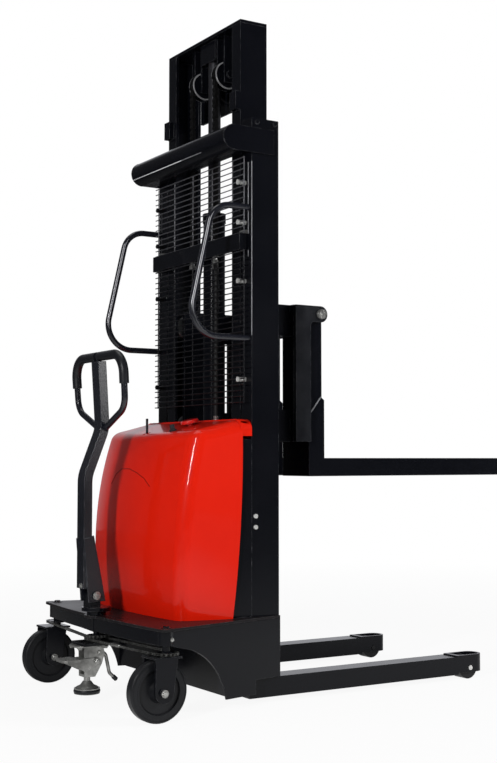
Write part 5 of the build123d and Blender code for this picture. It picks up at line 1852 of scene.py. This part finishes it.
@dataclass
class Studio:
    """Camera, lamps, floor and background."""

    eye: Point = (-2.5137, -3.6742, 0.7546)
    heading: float = 58.28
    rise: float = 3.47
    lens: float = 60.10
    sensor: float = 36.0
    ambient: float = 0.15
    room: float = 0.07
    backdrop: float = 0.75
    backdrop_edge: Pair = (0.74, 0.90)
    cool: Rgb = (0.93, 0.94, 1.0)
    floor_half: float = 14.0
    floor_tone: float = 0.80
    floor_glow: float = 0.92
    glow_reach: Pair = (1.5, 5.0)
    mirror_across: Pair = (-0.5, 0.6)
    mirror_tones: Pair = (0.85, 0.14)
    mirror_reach: Pair = (1.3, 4.5)
    mirror_far: float = 0.22

    def build(self) -> None:
        """Makes everything that surrounds the object."""
        self._camera()
        self._world()
        self._floor()
        for lamp in self._lamps():
            lamp.hang()
        bpy.context.scene.view_settings.view_transform = "Standard"

    def _camera(self) -> None:
        """Stands the camera where the picture was taken from."""
        data = bpy.data.cameras.new("camera")
        data.lens = self.lens
        data.sensor_width = self.sensor
        camera = link("camera", data)
        camera.location = self.eye
        camera.rotation_euler = aim(self._look())
        bpy.context.scene.camera = camera

    def _look(self) -> Vector:
        """The way that the camera looks.

        Returns:
            The direction, of length 1.
        """
        turn, rise = math.radians(self.heading), math.radians(self.rise)
        flat = math.cos(rise)
        return Vector((math.cos(turn) * flat, math.sin(turn) * flat, math.sin(rise)))

    def _world(self) -> None:
        """White backdrop behind the object, a dim room on the camera's side, soft light."""
        world = bpy.data.worlds.new("studio")
        bpy.context.scene.world = world
        graph = Graph.blank(world)
        way = graph.node("ShaderNodeTexCoord").outputs["Generated"]
        ahead = graph.dot(way, self._look())
        mirrored = graph.span(ahead, *self.backdrop_edge, self.room, self.backdrop)
        seen, mirror = self._rays(graph)
        strength = graph.blend(seen, graph.blend(mirror, self.ambient, mirrored), 1.0)
        colour = graph.mix(seen, self.cool, WHITE)
        light = graph.out("ShaderNodeBackground", {"Color": colour, "Strength": strength})
        graph.node("ShaderNodeOutputWorld", {"Surface": light})

    @staticmethod
    def _rays(graph: Graph) -> tuple[Socket, Socket]:
        """Tells the kinds of ray apart.

        Args:
            graph: The node tree to add to.

        Returns:
            1 for camera rays, and 1 for glossy and transmission rays.
        """
        path = graph.node("ShaderNodeLightPath").outputs
        mirror = graph.math("MAXIMUM", path["Is Glossy Ray"], path["Is Transmission Ray"])
        return path["Is Camera Ray"], mirror

    def _floor(self) -> None:
        """Pale floor that keeps the shadow and runs into the white background."""
        half = self.floor_half
        data = bpy.data.meshes.new("studio_floor")
        corners = [(-half, -half, 0), (half, -half, 0), (half, half, 0), (-half, half, 0)]
        data.from_pydata(corners, [], [(0, 1, 2, 3)])
        floor = link("studio_floor", data)
        made = bpy.data.materials.new("studio_floor")
        graph = Graph.blank(made)
        tone = (self.floor_tone,) * 3
        matt = graph.out("ShaderNodeBsdfDiffuse", {"Color": (*tone, 1)})
        seen, mirror = self._rays(graph)
        coords = graph.coords()
        far = graph.node("ShaderNodeVectorMath", {0: coords}, operation="LENGTH").outputs["Value"]
        near = graph.span(graph.axis(coords, "Y"), *self.mirror_across, *self.mirror_tones)
        fading = graph.span(far, *self.mirror_reach, 1.0, self.mirror_far)
        strength = graph.blend(seen, graph.math("MULTIPLY", near, fading), 1.0)
        glow = graph.out("ShaderNodeEmission", {"Color": (*WHITE, 1), "Strength": strength})
        share = graph.span(far, *self.glow_reach, self.floor_glow, 1.0)
        factor = graph.math("MULTIPLY", share, graph.math("MAXIMUM", seen, mirror))
        surface = graph.out("ShaderNodeMixShader", {0: factor, 1: matt, 2: glow})
        graph.node("ShaderNodeOutputMaterial", {"Surface": surface})
        data.materials.append(made)

    @staticmethod
    def _lamps() -> list[Lamp]:
        """The soft lamps of the studio.

        Returns:
            The lamps, ready to hang.
        """
        return [
            Lamp("key", (-4.0, -2.37, 2.35), (-0.6, 0.0, 1.2), (0.16, 1.3), 64.0),
            Lamp("low", (-3.8, -2.24, 1.05), (-0.6, 0.0, 0.35), (0.16, 1.3), 61.0, False),
            Lamp("side", (1.05, -4.02, 1.40), (-0.8, 0.0, 0.9), (0.28, 0.6), 6.5),
            Lamp("front", (2.9, -3.2, 2.4), (0.0, -0.2, 0.9), (1.4, 1.6), 165.0, False),
            Lamp("top", (-0.4, 0.6, 4.4), ORIGIN, (2.4, 2.4), 30.0),
        ]


def main() -> None:
    """Builds the studio, dresses the CAD nodes and adds every Blender piece."""
    logging.basicConfig(level=logging.INFO, format="%(message)s")
    Studio().build()
    paintbox = Paintbox()
    paintbox.dress_cad()
    shop = Workshop(paintbox)
    for assembly in (
        GuardMesh(), LiftChains(), SteeringChains(), Fasteners(), Casters(), FloorLock(),
        Tiller(), PulleyHead(), HoseEnds(), WeldSeams(), RearCover(),
    ):
        LOG.info("building %s", type(assembly).__name__)
        assembly.build(shop)


if __name__ == "__main__":
    main()
